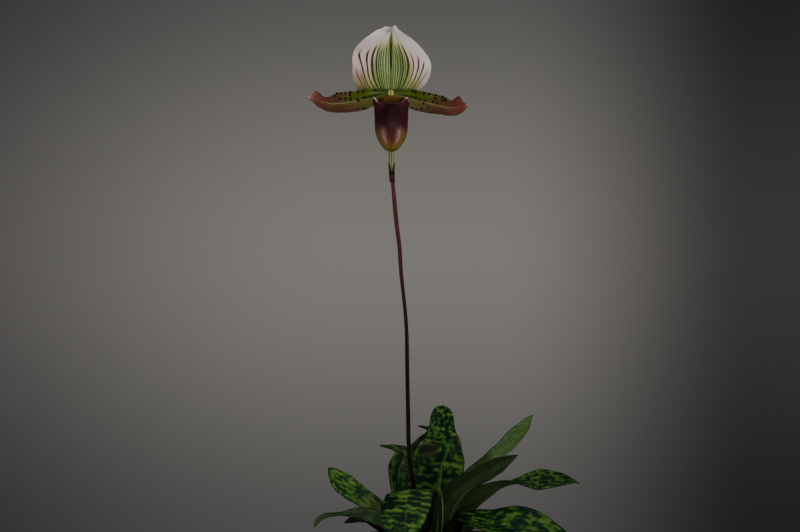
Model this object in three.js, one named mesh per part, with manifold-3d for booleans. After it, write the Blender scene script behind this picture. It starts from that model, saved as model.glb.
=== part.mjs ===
// A lady's slipper orchid in flower: two leafy growths on one rhizome, standing in a plain pot of bark,
// with a single bloom on a tall bare stem. Millimetres, +Z up. The origin is the middle of the pot's
// underside. The bloom looks along -Y, and +X is to its viewer's right.
import * as THREE from "three";
import { mergeVertices } from "three/addons/utils/BufferGeometryUtils.js";
import Module from "manifold-3d";

const wasm = await Module();
wasm.setup();

// ---------------------------------------------------------------- driving dimensions

const GAP = 0.3; // clearance between neighbouring pieces
const EDGE = 0.4; // half the width that a blade keeps at its very tip

const POT = {
  height: 88,
  baseRadius: 38,
  shoulderRadius: 49.5, // outside, where the rim band starts
  rimRadius: 54,
  rimBand: 12,
  wall: 1.8,
  floor: 2.2,
  sides: 36,
  drains: { count: 8, radius: 4, circle: 27 },
};

const BARK = {
  level: 79, // top of the filling, between the chunks
  chunks: 38,
  chunkSize: [14, 10, 7],
  seed: 11,
};

// The two growths: middle, radius and height above the bark of each leafy base.
const GROWTHS = [
  { at: [-7, 3], radius: 13.5, rise: 11 },
  { at: [10.5, -3], radius: 11.5, rise: 10 },
];
const RHIZOME_DEPTH = 9; // how far the growths stand in the bark

const BLOOM = new THREE.Vector3(-25.4, 0, 378); // where sepals, petals, lip and column meet

const SCAPE = {
  spine: [
    [-6, 3, 82], [-10.6, 2, 121], [-13, 2, 138], [-13.9, 2, 152], [-14.2, 2, 168], [-14.8, 2, 199],
    [-15.1, 2, 220], [-16.1, 2.2, 236], [-18.8, 2.6, 262], [-19.8, 3, 278], [-21.8, 3.4, 294],
    [-24.7, 4, 325.4],
  ],
  radius: [1.9, 1.75, 1.6, 1.4, 1.35, 1.3, 1.3, 1.2, 1.15, 1.25, 1.35, 1.4, 1.1],
  sides: 8,
  rings: 28,
};

const OVARY = {
  spine: [
    [-24.9, 4, 325.7], [-25.1, 7.2, 342], [-25.3, 11, 358], [-25.4, 11.5, 370], [-25.4, 7.8, 377],
    [-25.4, 3.6, 378.4],
  ],
  radius: [0.95, 1.2, 1.65, 1.75, 1.75, 1.8, 1.85, 2, 2.2, 2.4, 2.6],
  sides: 12,
  rings: 16,
  ribs: 0.13, // how far the six ribs stand out, as a share of the radius
};

const BRACT = {
  spine: [[-24.5, 4, 320.6], [-24.8, 4.1, 325.5], [-24.95, 4.9, 330], [-25.05, 6.6, 335.5]],
  radius: [1.75, 1.8, 1.95, 2.25],
  wrap: [176, 176, 176, 158, 132, 90, 8], // degrees each way round from the back, from foot to tip
  thickness: 0.6,
};

// Outlines are half widths at even steps from the foot of the piece to its tip.
const DORSAL = {
  spine: [[0, 3.4, 1.2], [0, 2.6, 8], [0, 2.2, 18], [0, 1.6, 28], [0.3, -0.6, 38], [1.2, -2.6, 44.4]],
  left: [20.6, 23.8, 24.9, 24.9, 25, 23.6, 19, 11.6, 4.9],
  right: [17.5, 22.6, 25.2, 26.2, 24.7, 21.2, 16.4, 9.8, 2.2],
  thickness: 0.9,
  rows: 13,
  columns: 10,
};

const PETAL = {
  left: {
    spine: [
      [-2.2, 1, -0.4], [-10.6, -0.4, -2.4], [-19, -1.6, -4.6], [-30, -2.6, -6.4], [-40, -3.4, -6.6],
      [-48, -5.4, -4.6], [-53.2, -7.6, -2.6],
    ],
    upper: [2.4, 3.5, 4.6, 5.6, 6.5, 6.8, 6.9, 7.1, 7.3, 7.4, 7.2, 5.5, 3.9, 3.4, 4.4, 5.2, 0.7],
    lower: [2.4, 6.2, 8.2, 8.8, 8.9, 8.6, 7.4, 4.8, 0.9],
    warts: [
      [0.66, 0.86], [0.63, 0.93], [0.58, 0.94], [0.51, 0.94], [0.45, 0.94], [0.46, 0.72], [0.35, 0.92],
      [0.28, 0.9], [0.14, 0.94], [0.59, 0.4], [0.52, 0.34], [0.46, 0.3], [0.38, 0.26], [0.37, 0.02],
      [0.29, 0.24], [0.4, -0.78], [0.34, -0.84], [0.31, -0.94],
    ],
  },
  right: {
    spine: [
      [2.2, 1, -0.4], [11.3, -0.4, -3], [20.2, -1.6, -5.4], [31.4, -2.6, -8.2], [40.2, -3.4, -9.6],
      [46.3, -5, -9.2], [49.8, -7.4, -7.6],
    ],
    upper: [2.4, 4.6, 6.2, 6.8, 7, 6.8, 4.8, 7.2, 0.9],
    lower: [2.4, 6.4, 8.6, 8.9, 8.6, 7.8, 7.2, 5.6, 0.9],
    warts: [
      [0.22, 0.9], [0.26, 0.87], [0.37, 0.87], [0.44, 0.92], [0.52, 0.93], [0.62, 0.93], [0.66, 0.93],
      [0.28, 0.2], [0.34, 0.12], [0.41, 0.14], [0.4, -0.14], [0.53, 0.58], [0.51, 0.24], [0.57, 0.16],
      [0.63, 0.6], [0.67, 0.7], [0.28, -0.94], [0.34, -0.93], [0.4, -0.76], [0.48, -0.52], [0.52, -0.93],
    ],
  },
  wartRadius: 0.85,
  thickness: 0.9,
  rows: 18,
  columns: 6,
};

const SYNSEPAL = {
  spine: [[0, 3.2, -2.6], [0, 4.6, -10], [0, 5.4, -18], [0, 4.6, -29]],
  outline: [4.5, 8.4, 9, 7.8, 5.2, 0.7],
  thickness: 0.8,
  rows: 10,
  columns: 6,
};

// The pouched lip, as rings from its toe up to its mouth: height over the toe, half width, half depth
// and how far the ring's middle lies in front of the bloom's middle.
const LIP = {
  toe: -38.7,
  aside: 0.3, // it hangs a little to its viewer's right
  rings: [
    [0.5, 2.4, 2.4, 13.6], [1.7, 4.4, 4.3, 13.4], [4.2, 6.6, 6.1, 13], [8.3, 9, 7.6, 12.4],
    [12.8, 10.3, 8.5, 11.7], [15.8, 10.6, 8.7, 11.2], [19.8, 10.8, 8.6, 10.5], [25.3, 11, 8.1, 10],
    [28.8, 11.4, 7.8, 9.8], [30.7, 12.3, 7.9, 9.8],
  ],
  wall: 1,
  around: 24,
  earRise: 4, // how far the side lobes rise over the front of the mouth
  ears: { left: 1.18, right: 0.98, spread: 0.3 }, // how far round they stand from the front
  backRise: 4.8,
};

const COLUMN = {
  radius: 1.95,
  spine: [[0, 3.2, 0.4], [0, -2, 0.4], [0, -5.6, -0.4], [0, -9.2, -3.4]],
  shield: { at: [0.5, -9.8, -5.6], half: [5.3, 1.6, 3.9] }, // the staminode
};

// Each leaf: its midrib from foot to tip, and at even steps along that: where its upper face looks, its half
// width, and how steeply it is folded, in degrees.
const LEAVES = [
  {
    name: "leaf_back_centre",
    spine: [
      [-1, 9, 83], [1, 10, 100], [4, 12, 118], [5.6, 15, 134], [8.2, 20, 147.5], [8.3, 31, 157.5],
      [8.8, 40, 166.2], [9.4, 46, 171.5],
    ],
    faces: [[0, -1, 0.2], [0, -1, 0.1], [0, -0.6, 0.8], [0, -0.8, 0.6]],
    outline: [6, 8.2, 10.5, 12.9, 15, 16.3, 17.2, 17.7, 17.8, 17.2, 14.4, 11.9, 9.4, 8.8, 8.5, 8, 7],
    fold: [48, 26, 14, 12, 8],
  },
  {
    name: "leaf_left_upright",
    spine: [
      [-9.5, 6.5, 83], [-16, 9, 101], [-20.2, 13, 119.5], [-19.9, 18, 131.4], [-17.8, 22, 137.6],
      [-16.8, 27, 142], [-23.8, 32, 144.3], [-32.8, 35, 145.4],
    ],
    faces: [[0.5, -0.8, 0.2], [0.35, -0.85, 0.3], [0.3, -0.8, 0.5], [0.1, -0.2, 0.95]],
    outline: [4.5, 6, 7.2, 8.6, 9.8, 6.8, 3.8, 2.5],
    fold: [50, 34, 30, 14, 8],
  },
  {
    name: "leaf_back_narrow",
    spine: [
      [-7, 13, 83], [-12, 20, 106], [-13.5, 29, 126], [-11.6, 37, 138], [-9.9, 41, 144.2],
      [-5, 46, 149.5], [1.5, 52, 153.2], [-1, 60, 155], [-6.6, 64, 155.9],
    ],
    faces: [[0.1, -1, 0.2], [0.1, -0.85, 0.5], [0, -0.35, 0.9]],
    outline: [4, 4.6, 5.2, 5.5, 5.8, 5.9, 5.8, 5.5, 4.8, 3.2, 1.9, 2.2, 2.8, 2.2, 0.5],
    fold: [50, 34, 26, 20, 10],
  },
  {
    name: "leaf_left_broad",
    spine: [
      [-14.5, 9, 83], [-22, 13, 93.5], [-31, 18, 101.5], [-42.5, 24, 109], [-54, 30, 117.2],
      [-61.8, 35, 124.2], [-67.4, 38, 130.4],
    ],
    faces: [[0.5, -0.55, 0.6], [0.2, -0.7, 0.7], [0.25, -0.78, 0.55]],
    outline: [5, 6.3, 7.3, 8.2, 8.7, 8, 4.4],
    fold: [50, 34, 22, 16, 8],
  },
  {
    name: "leaf_left_hidden",
    spine: [
      [-17, 4, 83], [-27, 4, 90], [-36, 3, 96.4], [-41.5, 1.5, 100.4], [-47, 0, 101.3], [-52, -1, 99.9],
      [-55.3, -2, 98.9],
    ],
    faces: [[0.5, 0, 0.8], [0, -0.2, 1], [-0.1, -0.45, 0.9]],
    outline: [4, 5.6, 6, 4.6, 2.6],
    fold: [50, 30, 20, 10, 6],
  },
  {
    name: "leaf_left_drooping",
    spine: [
      [-15, -1, 83], [-24, -6, 94], [-36, -11, 101], [-46, -14, 105.2], [-55.5, -16, 106.8],
      [-65, -18, 106.2], [-70.6, -19, 103.6], [-74.2, -20, 99.6],
    ],
    faces: [[0.5, 0.35, 0.8], [0, 0.5, 0.87], [0, 0.6, 0.8], [-0.1, 0.6, 0.78]],
    outline: [5, 7.4, 8.8, 9, 8.2, 5.6, 1.9, 2.9, 3.1],
    fold: [50, 40, 28, 16, 12],
  },
  {
    name: "leaf_left_low",
    spine: [
      [-13, -6.5, 83], [-21, -15, 89.6], [-31.5, -25, 91], [-42, -35, 88.8], [-51.5, -44, 79.5],
      [-58, -50, 65],
    ],
    faces: [[0.4, 0.5, 0.7], [-0.2, -0.3, 1], [-0.6, -0.5, 0.6]],
    outline: [5, 8, 10.4, 11, 9, 4.5],
    fold: [50, 26, 12, 8, 8],
  },
  {
    name: "leaf_front",
    spine: [
      [-6, -5.5, 84], [-8.5, -10, 104], [-11.8, -17, 118.2], [-13, -24, 123.2], [-15, -31, 119.4],
      [-17, -39.5, 112], [-19.3, -48.5, 102], [-21.7, -58, 85],
    ],
    faces: [[0, 0.9, 0.4], [-0.02, 0.6, 0.8], [-0.14, -0.3, 1], [-0.03, -0.9, 0.5], [0, -1, 0.25]],
    outline: [6, 10, 13, 14.8, 15.8, 15.8, 13, 8, 2],
    fold: [48, 20, -10, -8, 0],
  },
  {
    name: "leaf_right_upper",
    spine: [
      [11, -1, 84], [13, -2, 99], [18.5, -3, 112], [27.6, -3, 124.2], [37, -2, 134.4], [45.9, -1, 143.8],
      [54.6, 0, 152.4], [61.9, 1, 159.8], [66.8, 2, 168.4],
    ],
    faces: [[-0.8, 0.5, 0.2], [-0.62, 0.55, 0.6], [-0.6, 0.55, 0.6]],
    outline: [5, 7, 10, 11.6, 12.4, 11.4, 10.4, 10, 7],
    fold: [50, 34, 18, 12, 8],
  },
  {
    name: "leaf_right_front",
    spine: [
      [9, -7, 83], [10.5, -9, 97], [14, -12, 109.5], [18.8, -15, 118], [26, -18, 125], [35.3, -21, 132],
      [45.2, -24, 138.7], [55.2, -27, 145.3],
    ],
    faces: [[-0.35, 0.9, 0.2], [-0.5, 0.65, 0.6], [-0.5, 0.6, 0.65]],
    outline: [6, 9, 12.5, 14.2, 13.2, 11, 8.8, 4.8],
    fold: [50, 32, 18, 12, 10],
  },
  {
    name: "leaf_right_twisted",
    spine: [
      [16, -2.5, 83], [20, -4, 100], [27, -5.5, 111], [38.5, -8, 119.5], [50, -10, 125.6],
      [60.5, -12, 127.2], [71, -14, 127.9], [83, -17, 128.1], [90, -19, 128], [95.2, -20, 126.8],
    ],
    faces: [[-0.5, 0.7, 0.3], [-0.3, 0.8, 0.55], [-0.12, 0.45, 0.9], [0, -0.6, 0.8], [0, -0.7, 0.7]],
    outline: [5, 8, 10, 10, 7.4, 8.6, 10.2, 7, 0.8],
    fold: [50, 30, 14, 8, 6],
  },
  {
    name: "leaf_right_low",
    spine: [
      [13, -7.5, 84], [15, -11, 96.5], [19.5, -14.5, 102.4], [27, -19.5, 102.4], [37, -26.5, 101.2],
      [49.5, -33, 101.4], [62, -39, 99.4], [74, -44, 94.4], [86, -48, 87.6], [97, -51, 79],
    ],
    faces: [[-0.6, 0.5, 0.6], [-0.1, -0.4, 1], [0.2, -0.55, 0.8], [0.4, -0.6, 0.65], [0.5, -0.6, 0.5]],
    outline: [6, 7.6, 10.2, 14, 17, 16.6, 13.8, 9.4, 1],
    fold: [50, 26, 14, 12, 8],
  },
  {
    name: "leaf_young",
    spine: [[5, -9, 84], [6, -18, 98], [6.3, -25, 112], [5.8, -30, 124.5]],
    faces: [[0, 0.9, 0.3], [0, 0.9, 0.4]],
    outline: [3, 4.6, 5, 4.2, 0.7],
    fold: [62, 66, 66, 60],
  },
  {
    name: "leaf_rear_right",
    spine: [[14, 4.5, 83], [21, 14, 90.5], [30, 27, 94.5], [39, 43, 95], [46, 60, 88]],
    faces: [[-0.4, -0.7, 0.5], [0, -0.4, 1], [0.3, 0.4, 0.9]],
    outline: [5, 8.5, 11, 12, 11, 8, 1],
    fold: [50, 28, 16, 12, 8],
  },
];
const LEAF = {
  thickness: 0.9,
  keel: 0.7, // how far the midrib stands out underneath
  round: 16, // how late the outline rounds off at the tip
  wave: 0.9, // height of the slow waves along the margin
  waves: 2.3,
  rows: 11,
  columns: 6,
};

// ---------------------------------------------------------------- solids

// A geometry with its shared vertices merged.
function merge(geometry) {
  geometry.deleteAttribute("normal");
  geometry.deleteAttribute("uv");
  return mergeVertices(geometry, 1e-4);
}

// Makes a geometry a manifold-3d solid.
function solidOf(geometry) {
  const merged = merge(geometry.clone());
  return new wasm.Manifold(
    new wasm.Mesh({
      numProp: 3,
      vertProperties: new Float32Array(merged.attributes.position.array),
      triVerts: new Uint32Array(merged.index.array),
    }),
  );
}

function geometryOf(solid) {
  const { vertProperties, triVerts } = solid.getMesh();
  const geometry = new THREE.BufferGeometry();
  geometry.setAttribute("position", new THREE.BufferAttribute(vertProperties, 3));
  geometry.setIndex(new THREE.BufferAttribute(triVerts, 1));
  return geometry;
}

// The largest body of a solid, without the scraps that a cut leaves loose.
function largest(solid) {
  const bodies = solid.decompose();
  return bodies.reduce((best, body) => (body.volume() > best.volume() ? body : best));
}

function without(solid, cutters) {
  return largest(cutters.reduce((left, cutter) => left.subtract(cutter), solid));
}

function joined(solids) {
  return solids.reduce((sum, solid) => sum.add(solid));
}

// A closed geometry from its vertices and triangles.
function closed(vertices, triangles) {
  const geometry = new THREE.BufferGeometry();
  const numbers = vertices.flatMap((v) => v.toArray());
  geometry.setAttribute("position", new THREE.Float32BufferAttribute(numbers, 3));
  geometry.setIndex(triangles.flat());
  return geometry;
}

// ---------------------------------------------------------------- curves

const vector = (p) => new THREE.Vector3(...p);

// A smooth curve through points, moved by an offset.
function path(points, offset = new THREE.Vector3()) {
  return new THREE.CatmullRomCurve3(points.map((p) => vector(p).add(offset)), false, "catmullrom", 0.5);
}

// A place on a curve at u, by length, carried on straight past its foot.
function placeOn(curve, u) {
  const place = curve.getPointAt(Math.max(0, u));
  return u < 0 ? place.addScaledVector(curve.getTangentAt(0), u * curve.getLength()) : place;
}

// Evenly spaced values, read at u from 0 to 1 as one smooth curve.
function along(values, u) {
  const place = Math.max(0, u) * (values.length - 1);
  const i = Math.min(Math.floor(place), values.length - 2);
  const at = (k) => values[THREE.MathUtils.clamp(k, 0, values.length - 1)];
  const [a, b, c, d] = [at(i - 1), at(i), at(i + 1), at(i + 2)];
  const t = place - i;
  return b + 0.5 * t * (c - a + t * (2 * a - 5 * b + 4 * c - d + t * (3 * (b - c) + d - a)));
}

// Evenly spaced directions, read at u from 0 to 1.
function towards(directions, u) {
  const place = Math.max(0, u) * (directions.length - 1);
  const i = Math.min(Math.floor(place), directions.length - 2);
  return vector(directions[i]).normalize().lerp(vector(directions[i + 1]).normalize(), place - i);
}

// ---------------------------------------------------------------- sheets, stalks and chunks

const NUDGE = 1e-3; // step for a surface's own slopes

// A closed sheet over a surface place(u, v), with u from 0 to 1 and v from -1 to 1. over and under are how
// far its two faces lie from that surface, at v. Both faces are split into triangles alike.
function sheet(place, rows, columns, over, under, start = 0) {
  const front = [];
  const back = [];
  for (let i = 0; i <= rows; i++) {
    const u = start + (1 - start) * (1 - (1 - i / rows) ** 1.4); // rows lie closer towards the tip
    for (let j = 0; j <= columns; j++) {
      const v = -1 + (2 * j) / columns;
      const [low, high] = [Math.min(u, 1 - NUDGE), Math.min(u, 1 - NUDGE) + NUDGE];
      const ahead = place(high, v).sub(place(low, v));
      const across = place(u, Math.min(1, v + NUDGE)).sub(place(u, Math.max(-1, v - NUDGE)));
      const normal = across.cross(ahead).normalize();
      front.push(place(u, v).addScaledVector(normal, over(v)));
      back.push(place(u, v).addScaledVector(normal, -under(v)));
    }
  }
  const width = columns + 1;
  const shift = front.length;
  const triangles = [];
  const quad = (a, b, c, d) => triangles.push([a, b, c], [a, c, d]);
  for (let i = 0; i < rows; i++) {
    for (let j = 0; j < columns; j++) {
      const a = i * width + j;
      const b = a + width;
      triangles.push([a, a + 1, b + 1], [a, b + 1, b]);
      triangles.push([a + shift, b + 1 + shift, a + 1 + shift], [a + shift, b + shift, b + 1 + shift]);
    }
    const left = i * width;
    const right = left + columns;
    quad(left, left + width, left + width + shift, left + shift);
    quad(right, right + shift, right + width + shift, right + width);
  }
  for (let j = 0; j < columns; j++) {
    const foot = j;
    const tip = rows * width + j;
    quad(foot, foot + shift, foot + shift + 1, foot + 1);
    quad(tip, tip + 1, tip + 1 + shift, tip + shift);
  }
  return closed([...front, ...back], triangles);
}

// A surface swept along a spine: faces steer its upper side, half(u, v) is its half width, fold its rise
// to each side in degrees, and lift(u, v) any further rise.
function swept({ spine, faces, half, fold, lift = () => 0 }) {
  return (u, v) => {
    const ahead = spine.getTangentAt(Math.max(0, u));
    const up = towards(faces, u);
    up.addScaledVector(ahead, -up.dot(ahead)).normalize();
    const side = ahead.clone().cross(up);
    const reach = Math.abs(v) * half(u, v);
    const angle = THREE.MathUtils.degToRad(along(fold, u));
    return placeOn(spine, u)
      .addScaledVector(side, Math.sign(v) * reach * Math.cos(angle))
      .addScaledVector(up, reach * Math.sin(angle) + lift(u, v));
  };
}

// A closed round stalk along a spine, with its radius at even steps and, where it has them, six ribs.
function stalk({ spine, radius, sides, rings, ribs = 0 }, room = 0, offset) {
  const curve = path(spine, offset);
  const vertices = [];
  const triangles = [];
  for (let i = 0; i <= rings; i++) {
    const u = i / rings;
    const ahead = curve.getTangentAt(u);
    const side = new THREE.Vector3(1, 0, 0).addScaledVector(ahead, -ahead.x).normalize();
    const other = ahead.clone().cross(side);
    const centre = curve.getPointAt(u).addScaledVector(ahead, i === 0 ? -room : i === rings ? room : 0);
    for (let j = 0; j < sides; j++) {
      const turn = (2 * Math.PI * j) / sides;
      const r = (along(radius, u) + room) * (1 + ribs * Math.cos(6 * turn));
      const out = side.clone().multiplyScalar(r * Math.cos(turn)).addScaledVector(other, r * Math.sin(turn));
      vertices.push(out.add(centre));
    }
  }
  for (let i = 0; i < rings; i++) {
    for (let j = 0; j < sides; j++) {
      const a = i * sides + j;
      const b = i * sides + ((j + 1) % sides);
      triangles.push([a, b, b + sides], [a, b + sides, a + sides]);
    }
  }
  const [foot, tip] = [vertices.length, vertices.length + 1];
  vertices.push(placeOn(curve, 0).addScaledVector(curve.getTangentAt(0), -room));
  vertices.push(placeOn(curve, 1).addScaledVector(curve.getTangentAt(1), room));
  for (let j = 0; j < sides; j++) {
    const next = (j + 1) % sides;
    triangles.push([foot, next, j], [tip, rings * sides + j, rings * sides + next]);
  }
  return closed(vertices, triangles);
}

// A turned piece from a profile of [radius, height] pairs.
function turned(profile, sides) {
  const points = profile.map(([r, z]) => new THREE.Vector2(r, z));
  return merge(new THREE.LatheGeometry(points, sides)).rotateX(Math.PI / 2);
}

// Repeatable numbers from 0 to 1.
function seeded(seed) {
  let state = seed;
  return () => {
    state = (Math.imul(state, 1664525) + 1013904223) >>> 0;
    return state / 2 ** 32;
  };
}

// ---------------------------------------------------------------- pot, bark and rhizome

function pot() {
  const { height, baseRadius, shoulderRadius, rimRadius, rimBand, wall, floor, sides, drains } = POT;
  const body = solidOf(
    turned(
      [
        [0, 0], [baseRadius - 1.5, 0], [baseRadius, 1.5], [shoulderRadius, height - rimBand],
        [rimRadius - 1, height - rimBand], [rimRadius, height - rimBand + 1.2], [rimRadius, height - 1.2],
        [rimRadius - 1, height], [rimRadius - 2.6, height], [shoulderRadius + 0.6, height - 2.4],
        [shoulderRadius - wall, height - rimBand], [baseRadius - wall, floor], [0, floor],
      ],
      sides,
    ),
  );
  const holes = Array.from({ length: drains.count }, (_, i) => {
    const turn = (2 * Math.PI * (i + 0.5)) / drains.count;
    const drill = merge(new THREE.CylinderGeometry(drains.radius, drains.radius, 4 * floor, 12));
    drill.rotateX(Math.PI / 2).translate(drains.circle * Math.cos(turn), drains.circle * Math.sin(turn), 0);
    return solidOf(drill);
  });
  return without(body, holes);
}

// The base that both growths stand on: two low domes, grown together.
function rhizome(room = 0) {
  return joined(
    GROWTHS.map(({ at, radius, rise }) => {
      const foot = BARK.level - RHIZOME_DEPTH - room;
      const r = radius + room;
      const dome = turned(
        [
          [0, foot], [r * 0.8, foot], [r, foot + 4], [r, BARK.level], [r * 0.86, BARK.level + rise * 0.45],
          [r * 0.55, BARK.level + rise * 0.85], [0, BARK.level + rise + room],
        ],
        12,
      );
      return solidOf(dome.translate(at[0], at[1], 0));
    }),
  );
}

// The bark filling: a plug that clears the pot, with a layer of chunks sunk into its top.
function bark() {
  const { baseRadius, shoulderRadius, wall, floor, height, rimBand, sides } = POT;
  const { level, chunks, chunkSize, seed } = BARK;
  const clear = wall + 2 * GAP;
  const slope = (shoulderRadius - baseRadius) / (height - rimBand);
  const low = floor + GAP;
  const radiusAt = (z) => baseRadius - clear + slope * (z - floor);
  const [foot, top] = [radiusAt(low), radiusAt(level - 3)];
  const plug = solidOf(turned([[0, low], [foot, low], [top, level - 3], [top, level], [0, level]], sides));
  const random = seeded(seed);
  const golden = Math.PI * (3 - Math.sqrt(5));
  const reach = top - chunkSize[0] / 2 - 1;
  const pieces = Array.from({ length: chunks }, (_, i) => {
    const rough = merge(new THREE.BoxGeometry(...chunkSize.map((size) => size * (0.75 + 0.5 * random()))));
    const corners = rough.attributes.position;
    for (let k = 0; k < corners.count; k++) {
      const [x, y, z] = [corners.getX(k), corners.getY(k), corners.getZ(k)];
      corners.setXYZ(k, x + 2 * random() - 1, y + 2 * random() - 1, z + random() - 0.5);
    }
    rough.rotateY(0.5 * (random() - 0.5)).rotateX(0.5 * (random() - 0.5)).rotateZ(2 * Math.PI * random());
    const out = reach * Math.sqrt((i + 0.5) / chunks);
    rough.translate(out * Math.cos(i * golden), out * Math.sin(i * golden), level + 0.6 + 1.6 * random());
    return solidOf(rough);
  });
  return joined([plug, ...pieces]);
}

// ---------------------------------------------------------------- leaves

function leaf({ spine, faces, outline, fold }, room = 0) {
  const curve = path(spine);
  const half = (u) => Math.max(EDGE, along(outline, u) * Math.sqrt(1 - Math.max(0, u) ** LEAF.round)) + room;
  const wave = (u, side) => LEAF.wave * Math.max(0, u) * Math.sin(2 * Math.PI * LEAF.waves * u + 1.7 * side);
  const lift = (u, v) => v * v * wave(u, Math.max(0, Math.sign(v)));
  const place = swept({ spine: curve, faces, half, fold, lift });
  const skin = LEAF.thickness / 2 + room;
  const keel = (v) => skin + LEAF.keel * Math.max(0, 1 - 3 * Math.abs(v));
  return solidOf(sheet(place, LEAF.rows, LEAF.columns, () => skin, keel, -room / curve.getLength()));
}

// ---------------------------------------------------------------- bloom

function dorsalSepal(room = 0) {
  const { spine, left, right, thickness, rows, columns } = DORSAL;
  const place = swept({
    spine: path(spine, BLOOM),
    faces: [[0, -1, 0], [0, -1, 0.05], [0, -0.9, 0.4]],
    half: (u, v) => along(v > 0 ? right : left, u) + room,
    fold: [0, 0, 0],
    // The wide middle is cupped, the lower margins roll back, and the tip is pinched into a groove.
    lift: (u, v) => {
      const cup = 2.4 * v * v * Math.sin(Math.PI * u);
      const rolled = 3.2 * v ** 4 * (1 - u) ** 2;
      const pinch = 3.4 * Math.min(1, 2.4 * Math.abs(v)) * Math.max(0, u - 0.35) ** 1.5;
      return cup - rolled + pinch;
    },
  });
  // The tip is notched: the left half of its edge lies lower than the right.
  const notched = (u, v) => {
    const placed = place(u, v);
    const lower = 1.4 - 1.7 * THREE.MathUtils.smoothstep(v, -0.1, 0.9);
    placed.z -= THREE.MathUtils.smoothstep(u, 0.8, 1) * lower;
    return placed;
  };
  const skin = () => thickness / 2 + room;
  return solidOf(sheet(notched, rows, columns, skin, skin));
}

function petalSurface(side, room) {
  const { spine, upper, lower } = PETAL[side];
  const up = side === "left" ? 1 : -1; // v is positive towards the left petal's upper margin
  return swept({
    spine: path(spine, BLOOM),
    faces: [[0, -0.9, 0.45], [0, -0.95, 0.3], [0, -0.9, 0.4], [side === "left" ? 0.4 : -0.4, -0.8, 0.35]],
    half: (u, v) => along(v * up >= 0 ? upper : lower, u) + room,
    fold: [26, 26, 20, 14, 18],
    lift: (u, v) => 0.7 * v * v * Math.sin(9 * u + (v * up > 0 ? 0 : 2)),
  });
}

function petal(side, room = 0) {
  const place = petalSurface(side, room);
  const skin = () => PETAL.thickness / 2 + room;
  const blade = solidOf(sheet(place, PETAL.rows, PETAL.columns, skin, skin));
  const up = side === "left" ? 1 : -1;
  const warts = PETAL[side].warts.map(([u, v]) => {
    const centre = place(u, v * up);
    const wart = merge(new THREE.IcosahedronGeometry(PETAL.wartRadius + room));
    return solidOf(wart.translate(centre.x, centre.y - 0.3, centre.z));
  });
  return joined([blade, ...warts]);
}

function synsepal(room = 0) {
  const { spine, outline, thickness, rows, columns } = SYNSEPAL;
  const place = swept({
    spine: path(spine, BLOOM),
    faces: [[0, -1, 0], [0, -1, 0]],
    half: (u) => along(outline, u) + room,
    fold: [10, 16, 16, 8],
  });
  const skin = () => thickness / 2 + room;
  return solidOf(sheet(place, rows, columns, skin, skin));
}

// The lip's outer skin at a share s of the way from toe to mouth and a turn from the front, or its inner
// skin with inset. The mouth dips in front and rises in an ear at each side and at the back.
function lipPlace(s, turn, inset) {
  const ring = (k) => along(LIP.rings.map((row) => row[k]), s);
  const { left, right, spread } = LIP.ears;
  const ear = Math.exp(-(((Math.abs(turn) - (turn < 0 ? left : right)) / spread) ** 2));
  const back = THREE.MathUtils.smoothstep(Math.abs(turn), 1.2, 2.1);
  const mouth = THREE.MathUtils.smoothstep(s, 0.55, 1);
  const height = ring(0) + mouth * (LIP.earRise * ear + LIP.backRise * back);
  return new THREE.Vector3(
    BLOOM.x + LIP.aside + (ring(1) - inset) * Math.sin(turn),
    BLOOM.y - ring(3) - (ring(2) - inset) * Math.cos(turn),
    BLOOM.z + LIP.toe + height + inset * (1 - THREE.MathUtils.smoothstep(s, 0, 0.4)),
  );
}

function lip(room = 0) {
  const { rings, wall, around, toe, aside } = LIP;
  const vertices = [];
  const triangles = [];
  const rows = rings.length;
  for (const inset of [-room, wall + room]) {
    for (let i = 0; i < rows; i++) {
      for (let j = 0; j < around; j++) {
        const turn = (2 * Math.PI * (j + 0.5)) / around - Math.PI;
        vertices.push(lipPlace(i / (rows - 1), turn, inset));
      }
    }
  }
  const shift = rows * around;
  for (let j = 0; j < around; j++) {
    const next = (j + 1) % around;
    for (let i = 0; i < rows - 1; i++) {
      const [a, b] = [i * around + j, i * around + next];
      const [c, d] = [b + around, a + around];
      triangles.push([a, b, c], [a, c, d]);
      triangles.push([a + shift, c + shift, b + shift], [a + shift, d + shift, c + shift]);
    }
    const [a, b] = [(rows - 1) * around + j, (rows - 1) * around + next];
    triangles.push([a, b, b + shift], [a, b + shift, a + shift]);
    triangles.push([2 * shift, next, j], [2 * shift + 1, shift + j, shift + next]);
  }
  const [, , , ahead] = rings[0];
  const middle = new THREE.Vector3(BLOOM.x + aside, BLOOM.y - ahead, BLOOM.z + toe);
  vertices.push(middle.clone().setZ(middle.z - room), middle.clone().setZ(middle.z + wall + 0.5 + room));
  return solidOf(closed(vertices, triangles));
}

// The column with the shield that closes the middle of the lip's mouth.
function column(room = 0) {
  const { radius, spine, shield } = COLUMN;
  const taper = [radius, radius, radius * 0.8];
  const rod = solidOf(stalk({ spine, radius: taper, sides: 12, rings: 6 }, room, BLOOM));
  const plate = merge(new THREE.SphereGeometry(1, 16, 8));
  plate.scale(...shield.half.map((size) => size + room));
  plate.translate(...vector(shield.at).add(BLOOM).toArray());
  return joined([rod, solidOf(plate)]);
}

// The sheath round the foot of the ovary, open in front.
function bract() {
  const curve = path(BRACT.spine);
  const place = (u, v) => {
    const turn = THREE.MathUtils.degToRad(along(BRACT.wrap, u)) * v;
    const centre = curve.getPointAt(u);
    const r = along(BRACT.radius, u);
    return centre.add(new THREE.Vector3(r * Math.sin(turn), r * Math.cos(turn), 0));
  };
  const skin = () => BRACT.thickness / 2;
  return solidOf(sheet(place, 8, 12, skin, skin));
}

// ---------------------------------------------------------------- assembly

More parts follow.
